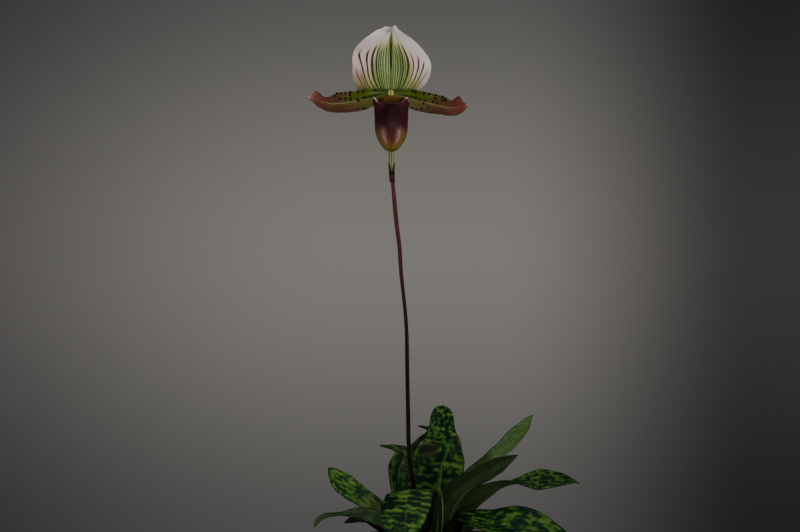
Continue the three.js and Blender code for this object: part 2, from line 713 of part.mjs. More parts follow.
const COLOURS = {
  pot: { color: 0x2b2a2a, roughness: 0.5 },
  bark: { color: 0x5b3b25, roughness: 0.9 },
  rhizome: { color: 0x6f7f3a, roughness: 0.7 },
  leaf: { color: 0x3f7a2c, roughness: 0.45 },
  scape: { color: 0x4d1f22, roughness: 0.7 },
  ovary: { color: 0x9aa04a, roughness: 0.7 },
  bract: { color: 0x7d5a3c, roughness: 0.7 },
  sepal: { color: 0xe6e2d8, roughness: 0.6 },
  synsepal: { color: 0xb9c58a, roughness: 0.6 },
  petal: { color: 0x8a7d3a, roughness: 0.5 },
  lip: { color: 0x5a1f28, roughness: 0.3 },
  column: { color: 0x9a6a3c, roughness: 0.5 },
};

const orchid = new THREE.Group();

function add(name, solid, finish) {
  const material = new THREE.MeshStandardMaterial({ metalness: 0, ...COLOURS[finish] });
  const mesh = new THREE.Mesh(geometryOf(solid), material);
  mesh.name = name;
  orchid.add(mesh);
}

// Stem, ovary and column come first: everything that meets them is cut to clear them.
add("scape", solidOf(stalk(SCAPE)), "scape");
add("ovary", solidOf(stalk(OVARY)), "ovary");
const roomyStems = [solidOf(stalk(SCAPE, GAP)), solidOf(stalk(OVARY, GAP))];
add("bract", without(bract(), roomyStems), "bract");
add("column", without(column(), roomyStems), "column");
const roomyCentre = [...roomyStems, column(GAP)];
const petals = ["left", "right"].map((side) => without(petal(side), roomyCentre));
add("petal_left", petals[0], "petal");
add("petal_right", petals[1], "petal");
const roomyPetals = [petal("left", GAP), petal("right", GAP)];
add("lip_pouch", without(lip(), [...roomyCentre, ...roomyPetals]), "lip");
const roomyFront = [...roomyCentre, ...roomyPetals, lip(GAP)];
add("dorsal_sepal", without(dorsalSepal(), roomyFront), "sepal");
add("synsepal", without(synsepal(), [...roomyFront, dorsalSepal(GAP)]), "synsepal");

// Each leaf clears the ones before it, and the rhizome and the bark clear them all.
const roomyLeaves = [];
for (const plan of LEAVES) {
  add(plan.name, without(leaf(plan), [...roomyStems, ...roomyLeaves]), "leaf");
  roomyLeaves.push(leaf(plan, GAP));
}
add("rhizome", without(rhizome(), [...roomyStems, ...roomyLeaves]), "rhizome");
add("bark", without(bark(), [rhizome(GAP), ...roomyStems, ...roomyLeaves]), "bark");
add("pot", pot(), "pot");

export default orchid;
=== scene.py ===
# A lady's slipper orchid in flower, in its pot of bark. Every piece takes the place of one solid: leaves and
# flower parts as thin blades, the stem and the ovary with their down, loose chips of bark and a turned pot.
# Measures are millimetres until a mesh is made, in metres. +Z is up and the bloom faces -Y.
import math
import random

import bpy
import numpy as np
from mathutils import Matrix, Vector


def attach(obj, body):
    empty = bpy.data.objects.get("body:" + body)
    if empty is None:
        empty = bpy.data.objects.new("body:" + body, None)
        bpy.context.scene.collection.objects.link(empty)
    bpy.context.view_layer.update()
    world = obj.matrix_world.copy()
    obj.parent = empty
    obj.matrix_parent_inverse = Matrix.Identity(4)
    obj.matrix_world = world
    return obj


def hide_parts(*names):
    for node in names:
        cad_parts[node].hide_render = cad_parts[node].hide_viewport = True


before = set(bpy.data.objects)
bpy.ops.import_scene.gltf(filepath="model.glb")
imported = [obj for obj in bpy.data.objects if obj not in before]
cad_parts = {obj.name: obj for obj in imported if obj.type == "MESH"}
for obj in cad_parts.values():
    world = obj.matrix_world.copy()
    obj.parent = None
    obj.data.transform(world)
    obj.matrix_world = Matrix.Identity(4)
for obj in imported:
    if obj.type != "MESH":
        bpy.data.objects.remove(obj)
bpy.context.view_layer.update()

MM = 0.001

# ---------------------------------------------------------------- measures, as the solids have them

POT = {
    "height": 88,
    "base_radius": 38,
    "shoulder_radius": 49.5,
    "rim_radius": 54,
    "rim_band": 12,
    "wall": 1.8,
    "floor": 2.2,
    "drains": {"count": 8, "radius": 4, "circle": 27},
}
BARK_LEVEL = 79
GROWTHS = [((-7, 3), 13.5, 11), ((10.5, -3), 11.5, 10)]  # middle, radius and rise of the dome
RHIZOME_DEPTH = 9
ROOTS = {"count": 9, "radius": [1.5, 1.35, 1.3, 1.2], "seed": 71}
CHIP_SIZES = ((7, 12), (5, 9), (2.5, 4.5))  # least and most length, width and thickness
# The layers of loose chips: how many, how far up, their size, and how far in from the filling's edge.
CHIP_LAYERS = [(95, 0.0, 1.0, 4.5), (120, 2.2, 0.8, 4.0), (70, 4.0, 0.55, 4.0)]
CHIP_KINDS = 6
CHIP_SEED = 83
SHEATH = 9  # how far up each growth is straight, before it domes over
BLOOM = (-25.4, 0, 378)

SCAPE = {
    "spine": [
        (-6, 3, 82), (-10.6, 2, 121), (-13, 2, 138), (-13.9, 2, 152), (-14.2, 2, 168), (-14.8, 2, 199),
        (-15.1, 2, 220), (-16.1, 2.2, 236), (-18.8, 2.6, 262), (-19.8, 3, 278), (-21.8, 3.4, 294),
        (-24.7, 4, 325.4),
    ],
    "radius": [1.9, 1.75, 1.6, 1.4, 1.35, 1.3, 1.3, 1.2, 1.15, 1.25, 1.35, 1.4, 1.1],
    "ribs": 0,
    "sides": 24,
    "rings": 180,
    "down": {"count": 2600, "span": (0.02, 1), "length": 0.75, "thickness": 0.045, "seed": 51},
}
OVARY = {
    "spine": [
        (-24.9, 4, 325.7), (-25.1, 7.2, 342), (-25.3, 11, 358), (-25.4, 11.5, 370), (-25.4, 7.8, 377),
        (-25.4, 3.6, 378.4),
    ],
    "radius": [0.95, 1.2, 1.65, 1.75, 1.75, 1.8, 1.85, 2, 2.2, 2.4, 2.6],
    "ribs": 0.13,
    "sides": 48,
    "rings": 60,
    "down": {"count": 700, "span": (0.03, 0.93), "length": 0.6, "thickness": 0.04, "seed": 61},
}
BRACT = {
    "spine": [(-24.5, 4, 320.6), (-24.8, 4.1, 325.5), (-24.95, 4.9, 330), (-25.05, 6.6, 335.5)],
    "radius": [1.35, 1.4, 1.6, 1.85],
    "wrap": [176, 176, 176, 158, 132, 90, 8],
    "thickness": 0.45,
}
DORSAL = {
    "spine": [(0, 3.4, 1.2), (0, 2.6, 8), (0, 2.2, 18), (0, 1.6, 28), (0.3, -0.6, 38), (1.2, -2.6, 44.4)],
    "left": [20.6, 23.8, 24.9, 24.9, 25, 23.6, 19, 11.6, 4.9],
    "right": [17.5, 22.6, 25.2, 26.2, 24.7, 21.2, 16.4, 9.8, 2.2],
    "thickness": 0.8,
}
PETALS = {
    "left": {
        "seed": 31,
        "spine": [
            (-2.2, 1, -0.4), (-10.6, -0.4, -2.4), (-19, -1.6, -4.6), (-30, -2.6, -6.4), (-40, -3.4, -6.6),
            (-48, -5.4, -4.6), (-53.2, -7.6, -2.6),
        ],
        "upper": [2.4, 3.5, 4.6, 5.6, 6.5, 6.8, 6.9, 7.1, 7.3, 7.4, 7.2, 5.5, 3.9, 3.4, 4.4, 5.2, 0.7],
        "lower": [2.4, 6.2, 8.2, 8.8, 8.9, 8.6, 7.4, 4.8, 0.9],
        "warts": [
            (0.66, 0.86), (0.63, 0.93), (0.58, 0.94), (0.51, 0.94), (0.45, 0.94), (0.46, 0.72), (0.35, 0.92),
            (0.28, 0.9), (0.14, 0.94), (0.59, 0.4), (0.52, 0.34), (0.46, 0.3), (0.38, 0.26), (0.37, 0.02),
            (0.29, 0.24), (0.4, -0.78), (0.34, -0.84), (0.31, -0.94),
        ],
    },
    "right": {
        "seed": 37,
        "spine": [
            (2.2, 1, -0.4), (11.3, -0.4, -3), (20.2, -1.6, -5.4), (31.4, -2.6, -8.2), (40.2, -3.4, -9.6),
            (46.3, -5, -9.2), (49.8, -7.4, -7.6),
        ],
        "upper": [2.4, 4.6, 6.2, 6.8, 7, 6.8, 4.8, 7.2, 0.9],
        "lower": [2.4, 6.4, 8.6, 8.9, 8.6, 7.8, 7.2, 5.6, 0.9],
        "warts": [
            (0.22, 0.9), (0.26, 0.87), (0.37, 0.87), (0.44, 0.92), (0.52, 0.93), (0.62, 0.93), (0.66, 0.93),
            (0.28, 0.2), (0.34, 0.12), (0.41, 0.14), (0.4, -0.14), (0.53, 0.58), (0.51, 0.24), (0.57, 0.16),
            (0.63, 0.6), (0.67, 0.7), (0.28, -0.94), (0.34, -0.93), (0.4, -0.76), (0.48, -0.52),
            (0.52, -0.93),
        ],
    },
}
PETAL_THICKNESS = 0.8
WART = {"radius": (0.72, 0.95), "height": 0.85, "raised": 0.05}
# The hairs on a petal's edges: how many, where along it they start, and over how much of it they go on.
CILIA = {"count": 150, "start": 0.1, "over": 0.82, "length": 1.1, "thickness": 0.055, "seed": 41}
SYNSEPAL = {
    "spine": [(0, 3.2, -2.6), (0, 4.6, -10), (0, 5.4, -18), (0, 4.6, -29)],
    "outline": [4.5, 8.4, 9, 7.8, 5.2, 0.7],
    "thickness": 0.8,
}
# The lip's rings: height over the toe, half width, half depth, and how far ahead of the bloom's middle.
LIP = {
    "toe": -38.7,
    "aside": 0.3,
    "rings": [
        (0.5, 2.4, 2.4, 13.6), (1.7, 4.4, 4.3, 13.4), (4.2, 6.6, 6.1, 13), (8.3, 9, 7.6, 12.4),
        (12.8, 10.3, 8.5, 11.7), (15.8, 10.6, 8.7, 11.2), (19.8, 10.8, 8.6, 10.5), (25.3, 11, 8.1, 10),
        (28.8, 11.4, 7.8, 9.8), (30.7, 12.3, 7.9, 9.8),
    ],
    "wall": 1,
    "ear_rise": 4,
    "ears": {"left": 1.18, "right": 0.98, "spread": 0.3},
    "back_rise": 4.8,
}
COLUMN = {
    "spine": [(0, 3.2, 0.4), (0, -2, 0.4), (0, -5.6, -0.4), (0, -9.2, -3.4)],
    "radius": [1.95, 1.95, 1.6],
    "shield": {"at": (0.5, -9.8, -5.6), "half": (5.3, 1.6, 3.9)},
}

# Each leaf: its midrib from foot to tip, and at even steps along that where its upper face looks, its half
# width, and how steeply it is folded, in degrees. leaf_pattern, leaf_face and leaf_back explain its look.
LEAVES = {
    "leaf_back_centre": {
        "spine": [
            (-1, 9, 83), (1, 10, 100), (4, 12, 118), (5.6, 15, 134), (8.2, 20, 147.5), (8.3, 31, 157.5),
            (8.8, 40, 166.2), (9.4, 46, 171.5),
        ],
        "faces": [(0, -1, 0.2), (0, -1, 0.1), (0, -0.6, 0.8), (0, -0.8, 0.6)],
        "outline": [6, 8.2, 10.5, 12.9, 15, 16.3, 17.2, 17.7, 17.8, 17.2, 14.4, 11.9, 9.4, 8.8, 8.5, 8, 7],
        "fold": [48, 26, 14, 12, 8],
        "look": {
            "seed": 3.1, "rib": 0.85, "light": 1.1, "bands": (0.2, 0.26), "bars": (0.025, 4.0),
            "hollow_shade": (0.6, 0.12, -0.5, 0.6), "ribbed": 0.72, "ribs_at": (0.14, 0.28, 0.5, 0.7),
            "crowded": [(0.5, 0.32, 0.85, 0.6, 0.11), (0.68, 0.13, -0.27, 0.4, -0.09)],
        },
    },
    "leaf_left_upright": {
        "spine": [
            (-9.5, 6.5, 83), (-16, 9, 101), (-20.2, 13, 119.5), (-19.9, 18, 131.4), (-17.8, 22, 137.6),
            (-16.8, 27, 142), (-23.8, 32, 144.3), (-32.8, 35, 145.4),
        ],
        "faces": [(0.5, -0.8, 0.2), (0.35, -0.85, 0.3), (0.3, -0.8, 0.5), (0.1, -0.2, 0.95)],
        "outline": [4.5, 6, 7.2, 8.6, 9.8, 6.8, 3.8, 2.5],
        "fold": [50, 34, 30, 14, 8],
        "look": {
            "seed": 8.4, "rib": 1.0, "light": 1.15, "bands": (0.2, 0.3), "dull": 0.45,
            "ribs_at": (-0.04, 0.06, 0.4, 0.8), "pale": 1.0,
        },
    },
    "leaf_back_narrow": {
        "spine": [
            (-7, 13, 83), (-12, 20, 106), (-13.5, 29, 126), (-11.6, 37, 138), (-9.9, 41, 144.2),
            (-5, 46, 149.5), (1.5, 52, 153.2), (-1, 60, 155), (-6.6, 64, 155.9),
        ],
        "faces": [(0.1, -1, 0.2), (0.1, -0.85, 0.5), (0, -0.35, 0.9)],
        "outline": [4, 4.6, 5.2, 5.5, 5.8, 5.9, 5.8, 5.5, 4.8, 3.2, 1.9, 2.2, 2.8, 2.2, 0.5],
        "fold": [50, 34, 26, 20, 10],
        "look": {"seed": 5.9, "rib": 0.5, "light": 0.7, "back": "speckled"},
    },
    "leaf_left_broad": {
        "spine": [
            (-14.5, 9, 83), (-22, 13, 93.5), (-31, 18, 101.5), (-42.5, 24, 109), (-54, 30, 117.2),
            (-61.8, 35, 124.2), (-67.4, 38, 130.4),
        ],
        "faces": [(0.5, -0.55, 0.6), (0.2, -0.7, 0.7), (0.25, -0.78, 0.55)],
        "outline": [5, 6.3, 7.3, 8.2, 8.7, 8, 4.4],
        "fold": [50, 34, 22, 16, 8],
        "look": {
            "seed": 12.7, "rib": 0.3, "light": 1.3, "bands": (0.24, 0.2), "plain": 0.64, "deep": 2.6,
            "crowded": [(0.7, 0.4, 0.0, 1.2, 0.08)],
        },
    },
    "leaf_left_hidden": {
        "spine": [
            (-17, 4, 83), (-27, 4, 90), (-36, 3, 96.4), (-41.5, 1.5, 100.4), (-47, 0, 101.3),
            (-52, -1, 99.9), (-55.3, -2, 98.9),
        ],
        "faces": [(0.5, 0, 0.8), (0, -0.2, 1), (-0.1, -0.45, 0.9)],
        "outline": [4, 5.6, 6, 4.6, 2.6],
        "fold": [50, 30, 20, 10, 6],
        "look": {"seed": 15.2, "rib": 0.2, "light": 0.2, "dull": 0.85, "back": "dark", "deep": 0.5},
    },
    "leaf_left_drooping": {
        "spine": [
            (-15, -1, 83), (-24, -6, 94), (-36, -11, 101), (-46, -14, 105.2), (-55.5, -16, 106.8),
            (-65, -18, 106.2), (-70.6, -19, 103.6), (-74.2, -20, 99.6),
        ],
        "faces": [(0.5, 0.35, 0.8), (0, 0.5, 0.87), (0, 0.6, 0.8), (-0.1, 0.6, 0.78)],
        "outline": [5, 7.4, 8.8, 9, 8.2, 5.6, 1.9, 2.9, 3.1],
        "fold": [50, 40, 28, 16, 12],
        "look": {"seed": 18.6, "rib": 0.5, "light": 0.8, "bands": (0.16, 0.16), "back": "mid"},
    },
    "leaf_left_low": {
        "spine": [
            (-13, -6.5, 83), (-21, -15, 89.6), (-31.5, -25, 91), (-42, -35, 88.8), (-51.5, -44, 79.5),
            (-58, -50, 65),
        ],
        "faces": [(0.4, 0.5, 0.7), (-0.2, -0.3, 1), (-0.6, -0.5, 0.6)],
        "outline": [5, 8, 10.4, 11, 9, 4.5],
        "fold": [50, 26, 12, 8, 8],
        "look": {"seed": 21.3, "rib": 0.3, "light": 0.9},
    },
    "leaf_front": {
        "spine": [
            (-6, -5.5, 84), (-8.5, -10, 104), (-11.8, -17, 118.2), (-13, -24, 123.2), (-15, -31, 119.4),
            (-17, -39.5, 112), (-19.3, -48.5, 102), (-21.7, -58, 85),
        ],
        "faces": [(0, 0.9, 0.4), (-0.02, 0.6, 0.8), (-0.14, -0.3, 1), (-0.03, -0.9, 0.5), (0, -1, 0.25)],
        "outline": [6, 10, 13, 14.8, 15.8, 15.8, 13, 8, 2],
        "fold": [48, 20, -10, -8, 0],
        "look": {
            "seed": 27.5, "rib": 0.45, "light": 1.05, "bands": (0.15, 0.24), "bars": (0.09, 4.6),
            "ribs_at": (0.0, -0.27, 0.55, 0.85),
            "crowded": [(0.55, 0.22, -0.9, 0.7, 0.05), (0.67, 0.14, -0.29, 0.55, -0.05)],
        },
    },
    "leaf_right_upper": {
        "spine": [
            (11, -1, 84), (13, -2, 99), (18.5, -3, 112), (27.6, -3, 124.2), (37, -2, 134.4),
            (45.9, -1, 143.8), (54.6, 0, 152.4), (61.9, 1, 159.8), (66.8, 2, 168.4),
        ],
        "faces": [(-0.8, 0.5, 0.2), (-0.62, 0.55, 0.6), (-0.6, 0.55, 0.6)],
        "outline": [5, 7, 10, 11.6, 12.4, 11.4, 10.4, 10, 7],
        "fold": [50, 34, 18, 12, 8],
        "look": {"seed": 31.9, "rib": 0.5, "light": 1.0, "back": "lit", "tip": 0.65},
    },
    "leaf_right_front": {
        "spine": [
            (9, -7, 83), (10.5, -9, 97), (14, -12, 109.5), (18.8, -15, 118), (26, -18, 125),
            (35.3, -21, 132), (45.2, -24, 138.7), (55.2, -27, 145.3),
        ],
        "faces": [(-0.35, 0.9, 0.2), (-0.5, 0.65, 0.6), (-0.5, 0.6, 0.65)],
        "outline": [6, 9, 12.5, 14.2, 13.2, 11, 8.8, 4.8],
        "fold": [50, 32, 18, 12, 10],
        "look": {"seed": 36.2, "rib": 0.5, "light": 0.9, "back": "dull", "shaded": 0.7},
    },
    "leaf_right_twisted": {
        "spine": [
            (16, -2.5, 83), (20, -4, 100), (27, -5.5, 111), (38.5, -8, 119.5), (50, -10, 125.6),
            (60.5, -12, 127.2), (71, -14, 127.9), (83, -17, 128.1), (90, -19, 128), (95.2, -20, 126.8),
        ],
        "faces": [(-0.5, 0.7, 0.3), (-0.3, 0.8, 0.55), (-0.12, 0.45, 0.9), (0, -0.6, 0.8), (0, -0.7, 0.7)],
        "outline": [5, 8, 10, 10, 7.4, 8.6, 10.2, 7, 0.8],
        "fold": [50, 30, 14, 8, 6],
        "look": {
            "seed": 41.7, "rib": 0.25, "light": 0.9, "bands": (0.28, 0.22),
            "crowded": [(0.76, 0.12, -0.14, 0.6, 0.06)],
        },
    },
    "leaf_right_low": {
        "spine": [
            (13, -7.5, 84), (15, -11, 96.5), (19.5, -14.5, 102.4), (27, -19.5, 102.4), (37, -26.5, 101.2),
            (49.5, -33, 101.4), (62, -39, 99.4), (74, -44, 94.4), (86, -48, 87.6), (97, -51, 79),
        ],
        "faces": [(-0.6, 0.5, 0.6), (-0.1, -0.4, 1), (0.2, -0.55, 0.8), (0.4, -0.6, 0.65), (0.5, -0.6, 0.5)],
        "outline": [6, 7.6, 10.2, 14, 17, 16.6, 13.8, 9.4, 1],
        "fold": [50, 26, 14, 12, 8],
        "look": {
            "seed": 47.3, "rib": 0.3, "light": 0.95, "bands": (0.4, 0.15), "deep": 1.3,
            "crowded": [(0.485, 0.13, -0.25, 0.6, -0.1), (0.7, 0.2, -0.9, 0.8, 0.04)],
        },
    },
    "leaf_young": {
        "spine": [(5, -9, 84), (6, -18, 98), (6.3, -25, 112), (5.8, -30, 124.5)],
        "faces": [(0, 0.9, 0.3), (0, 0.9, 0.4)],
        "outline": [3, 4.6, 5, 4.2, 0.7],
        "fold": [62, 66, 66, 60],
        "look": {"seed": 52.1, "rib": 0.6, "light": 2.8, "back": "lit", "deep": 3.5},
    },
    "leaf_rear_right": {
        "spine": [(14, 4.5, 83), (21, 14, 90.5), (30, 27, 94.5), (39, 43, 95), (46, 60, 88)],
        "faces": [(-0.4, -0.7, 0.5), (0, -0.4, 1), (0.3, 0.4, 0.9)],
        "outline": [5, 8.5, 11, 12, 11, 8, 1],
        "fold": [50, 28, 16, 12, 8],
        "look": {"seed": 57.8, "rib": 0.35, "light": 1.0},
    },
}
LEAF = {"thickness": 0.9, "keel": 0.7, "margin": 0.45, "round": 16, "wave": 0.9, "waves": 2.3}
LANE = 1.5  # distance between a leaf's fine veins
PATTERN_HALF = 14.0  # half width of a leaf that its pattern is drawn for
CREASE = 0.8  # how widely a blade's fold is rounded
BLADE_ANGLE = 55  # sharper edges than this, in degrees, stay sharp on blades
TUBE_ANGLE = 60  # and on round pieces

# The dorsal sepal's veins on each side: place across, half width, strength, and where along it they end.
SEPAL_VEINS = {
    -1: [
        (0.97, 0.0288, 1.35, 0.36), (0.865, 0.0256, 1.17, 0.28), (0.77, 0.0384, 1.62, 0.62),
        (0.625, 0.0352, 1.53, 0.64), (0.495, 0.048, 1.8, 0.7), (0.38, 0.0352, 1.62, 0.72),
        (0.32, 0.0288, 1.08, 0.68), (0.27, 0.027, 1.17, 0.7), (0.21, 0.027, 1.08, 0.7),
        (0.135, 0.027, 1.17, 0.74), (0.07, 0.0216, 0.9, 0.7),
    ],
    1: [
        (0.06, 0.0234, 1.08, 0.7), (0.118, 0.0234, 0.99, 0.7), (0.177, 0.027, 1.17, 0.72),
        (0.248, 0.0288, 1.26, 0.72), (0.307, 0.0396, 1.62, 0.74), (0.366, 0.0224, 0.9, 0.62),
        (0.436, 0.0432, 1.8, 0.72), (0.566, 0.0288, 1.17, 0.62), (0.696, 0.0352, 1.53, 0.53),
        (0.825, 0.0352, 1.53, 0.46), (0.9, 0.0192, 0.9, 0.28), (0.97, 0.0256, 1.17, 0.34),
    ],
}

# ---------------------------------------------------------------- curves


def along(values, u):
    """Evenly spaced values, read at u from 0 to 1 as one smooth curve."""
    place = min(max(0.0, u), 1.0) * (len(values) - 1)
    i = min(int(place), len(values) - 2)
    a, b, c, d = (values[min(max(k, 0), len(values) - 1)] for k in range(i - 1, i + 3))
    t = place - i
    return b + 0.5 * t * (c - a + t * (2 * a - 5 * b + 4 * c - d + t * (3 * (b - c) + d - a)))


def unit(v):
    """The same direction, one long."""
    return v / np.linalg.norm(v)


def towards(directions, u):
    """Evenly spaced directions, read at u from 0 to 1."""
    place = u * (len(directions) - 1)
    i = min(int(place), len(directions) - 2)
    low, high = (unit(np.array(directions[k], float)) for k in (i, i + 1))
    return low + (high - low) * (place - i)


def smoothstep(x, low, high):
    """0 below low, 1 above high, and smooth between them."""
    t = np.clip((x - low) / (high - low), 0, 1)
    return t * t * (3 - 2 * t)


class Spine:
    """A smooth curve through points, read by length from 0 at its foot to 1 at its tip."""

    def __init__(self, points, offset=(0, 0, 0)):
        knots = [np.array(p, float) + np.array(offset, float) for p in points]
        self.knots = [2 * knots[0] - knots[1], *knots, 2 * knots[-1] - knots[-2]]
        self.marks = np.linspace(0, len(points) - 1, 401)
        places = np.array([self.read(t)[0] for t in self.marks])
        steps = np.linalg.norm(np.diff(places, axis=0), axis=1)
        self.lengths = np.concatenate([[0], np.cumsum(steps)])
        self.length = float(self.lengths[-1])

    def read(self, t):
        i = min(int(t), len(self.knots) - 4)
        a, b, c, d = self.knots[i:i + 4]
        f = t - i
        bend, twist = 2 * a - 5 * b + 4 * c - d, 3 * (b - c) + d - a
        return b + 0.5 * f * (c - a + f * (bend + f * twist)), 0.5 * (c - a) + f * bend + 1.5 * f * f * twist

    def at(self, u):
        """The place and the direction ahead at u."""
        place, slope = self.read(float(np.interp(u * self.length, self.lengths, self.marks)))
        return place, unit(slope)


def swept(spine, faces, half, fold, lift, us, vs):
    """The places of a blade on a grid of us along it and vs across it, from -1 to 1."""
    rows = []
    for u in us:
        place, ahead = spine.at(u)
        up = towards(faces, u)
        up = unit(up - up.dot(ahead) * ahead)
        side = np.cross(ahead, up)
        reach = np.abs(vs) * half(u, vs)
        rise = np.sqrt(reach**2 + CREASE**2) - CREASE
        angle = math.radians(along(fold, u))
        out = np.sign(vs) * reach * math.cos(angle)
        rows.append(place + np.outer(out, side) + np.outer(rise * math.sin(angle) + lift(u, vs), up))
    return np.array(rows)


def normals(grid):
    """Unit normals of a grid of places, towards the side that its upper face looks."""
    ahead, across = np.gradient(grid, axis=0), np.gradient(grid, axis=1)
    n = np.cross(across, ahead)
    length = np.linalg.norm(n, axis=2, keepdims=True)
    return n / np.maximum(length, 1e-9)


def rows_along(count, power):
    """Places along a blade from 0 to 1, closer together towards its tip."""
    return 1 - (1 - np.linspace(0, 1, count + 1)) ** power


def thin_edged(vs, loss, start):
    """Shares of a blade's thickness across it, less by loss at its edges."""
    return 1 - loss * smoothstep(np.abs(vs), start, 1)


def thin_tipped(us, across):
    """Shares of a blade's thickness all over it, less at its tip."""
    return np.outer(np.minimum(1, 0.4 + 8 * (1 - us)), across)


# ---------------------------------------------------------------- pieces


def fresh(add, **sizes):
    """Adds a primitive while nothing else is selected."""
    bpy.ops.object.select_all(action="DESELECT")
    add(**sizes)
    return bpy.context.object


def activate(piece):
    """Selects one piece alone."""
    bpy.ops.object.select_all(action="DESELECT")
    piece.select_set(True)
    bpy.context.view_layer.objects.active = piece


def edit(piece, *steps):
    """Runs edit mode steps on the whole of a piece."""
    activate(piece)
    bpy.ops.object.mode_set(mode="EDIT")
    bpy.ops.mesh.select_all(action="SELECT")
    for step in steps:
        step()
    bpy.ops.object.mode_set(mode="OBJECT")


def modify(piece, kind, **settings):
    """Adds a modifier and applies it."""
    activate(piece)
    modifier = piece.modifiers.new(kind.lower(), kind)
    for name, value in settings.items():
        setattr(modifier, name, value)
    bpy.ops.object.modifier_apply(modifier=modifier.name)


def smooth(piece, degrees):
    """Shades a piece smooth, but for edges sharper than an angle."""
    activate(piece)
    bpy.ops.object.shade_smooth_by_angle(angle=math.radians(degrees))


def merge_doubles():
    bpy.ops.mesh.remove_doubles(threshold=2e-6)


def face_outwards():
    bpy.ops.mesh.normals_make_consistent(inside=False)


def laid(name, grid, us, vs):
    """A sheet over a grid of places in millimetres. Its UV map "blade" holds u and v as they are."""
    rows, columns = grid.shape[0] - 1, grid.shape[1] - 1
    piece = fresh(bpy.ops.mesh.primitive_grid_add, x_subdivisions=columns, y_subdivisions=rows, size=2)
    piece.name = name
    mesh = piece.data
    mesh.name = name
    co = np.zeros(len(mesh.vertices) * 3)
    mesh.vertices.foreach_get("co", co)
    co = co.reshape(-1, 3)
    j = np.rint((co[:, 0] + 1) / 2 * columns).astype(int)
    i = np.rint((co[:, 1] + 1) / 2 * rows).astype(int)
    mesh.vertices.foreach_set("co", (grid[i, j] * MM).ravel())
    corner = np.zeros(len(mesh.loops), int)
    mesh.loops.foreach_get("vertex_index", corner)
    uv = np.stack([np.asarray(us)[i[corner]], np.asarray(vs)[j[corner]]], axis=1)
    mesh.uv_layers[0].name = "blade"
    mesh.uv_layers[0].data.foreach_set("uv", uv.ravel())
    mesh.update()
    return piece


def thicken(piece, thickness, weights):
    """Gives a sheet its thickness underneath: weights are shares of it, row by row."""
    group = piece.vertex_groups.new(name="thickness")
    for index, weight in enumerate(weights.ravel()):
        group.add([index], float(weight), "REPLACE")
    modify(
        piece, "SOLIDIFY", thickness=thickness * MM, offset=-1, vertex_group="thickness",
        thickness_vertex_group=0.02, material_offset=1, material_offset_rim=0, use_even_offset=False,
    )
    piece.vertex_groups.clear()


def make_blade(name, grid, us, vs, thickness, weights, *finishes):
    """A blade whose upper face lies on a grid of places."""
    piece = laid(name, grid, us, vs)
    wear(piece, *finishes)
    thicken(piece, thickness, weights)
    smooth(piece, BLADE_ANGLE)
    return piece


def closed_tube(name, grid, us, vs):
    """A closed skin over a grid whose first and last columns meet and whose end rows are single points."""
    piece = laid(name, grid, us, vs)
    edit(piece, merge_doubles, face_outwards)
    smooth(piece, TUBE_ANGLE)
    return piece


def swap_uv(piece):
    """Turns a piece's UV map round, so that across comes first."""
    layer = piece.data.uv_layers["blade"]
    uv = np.zeros(len(layer.data) * 2)
    layer.data.foreach_get("uv", uv)
    layer.data.foreach_set("uv", uv.reshape(-1, 2)[:, ::-1].ravel())


def stalk(name, spine, radius, sides, rings, ribs=0.0, knots=None):
    """A round stalk along a spine, with its radius at even steps; its UV is along it and round it."""
    turns = np.linspace(0, 2 * math.pi, sides + 1)
    us = np.concatenate([[0, 0], np.linspace(0, 1, rings + 1), [1, 1]])
    shrink = np.concatenate([[0, 0.7], np.ones(rings + 1), [0.7, 0]])
    push = np.concatenate([np.zeros(rings + 3), [0.25, 0.3]])
    rows = []
    for u, share, out in zip(us, shrink, push):
        place, ahead = spine.at(u)
        side = unit(np.array([1.0, 0, 0]) - ahead[0] * ahead)
        other = np.cross(ahead, side)
        r = along(radius, u) * share * (1 + ribs * np.cos(6 * turns))
        if knots:
            r = r * (1 + knots(u, turns))
        centre = place + out * ahead
        rows.append(centre + np.outer(r * np.cos(turns), side) + np.outer(r * np.sin(turns), other))
    return closed_tube(name, np.array(rows), us, turns / (2 * math.pi))


def join(piece, *others):
    """Makes others part of piece, with their own materials."""
    activate(piece)
    for other in others:
        other.select_set(True)
    bpy.ops.object.join()


def from_lists(name, places, edges, faces):
    """A piece from its places in metres, and the edges or faces between them."""
    mesh = bpy.data.meshes.new(name)
    mesh.from_pydata(places, edges, faces)
    piece = bpy.data.objects.new(name, mesh)
    bpy.context.collection.objects.link(piece)
    return piece


def stamped(name, template, transforms):
    """One mesh of many copies of a small template, each at its own transform."""
    corners = np.array([v.co[:] for v in template.data.vertices])
    faces = [tuple(face.vertices) for face in template.data.polygons]
    places = []
    copies = []
    for k, transform in enumerate(transforms):
        turn = np.array(transform.to_3x3())
        places.append(corners @ turn.T + np.array(transform.translation))
        copies.extend(tuple(index + k * len(corners) for index in face) for face in faces)
    return from_lists(name, np.concatenate(places).tolist(), [], copies)


def hair_template():
    """One short hair, a metre long and wide until it is stamped."""
    cone = {"vertices": 3, "radius1": 1, "radius2": 0.12, "depth": 1, "location": (0, 0, 0.5)}
    hair = fresh(bpy.ops.mesh.primitive_cone_add, **cone)
    bpy.ops.object.transform_apply(location=True, rotation=False, scale=False)
    return hair


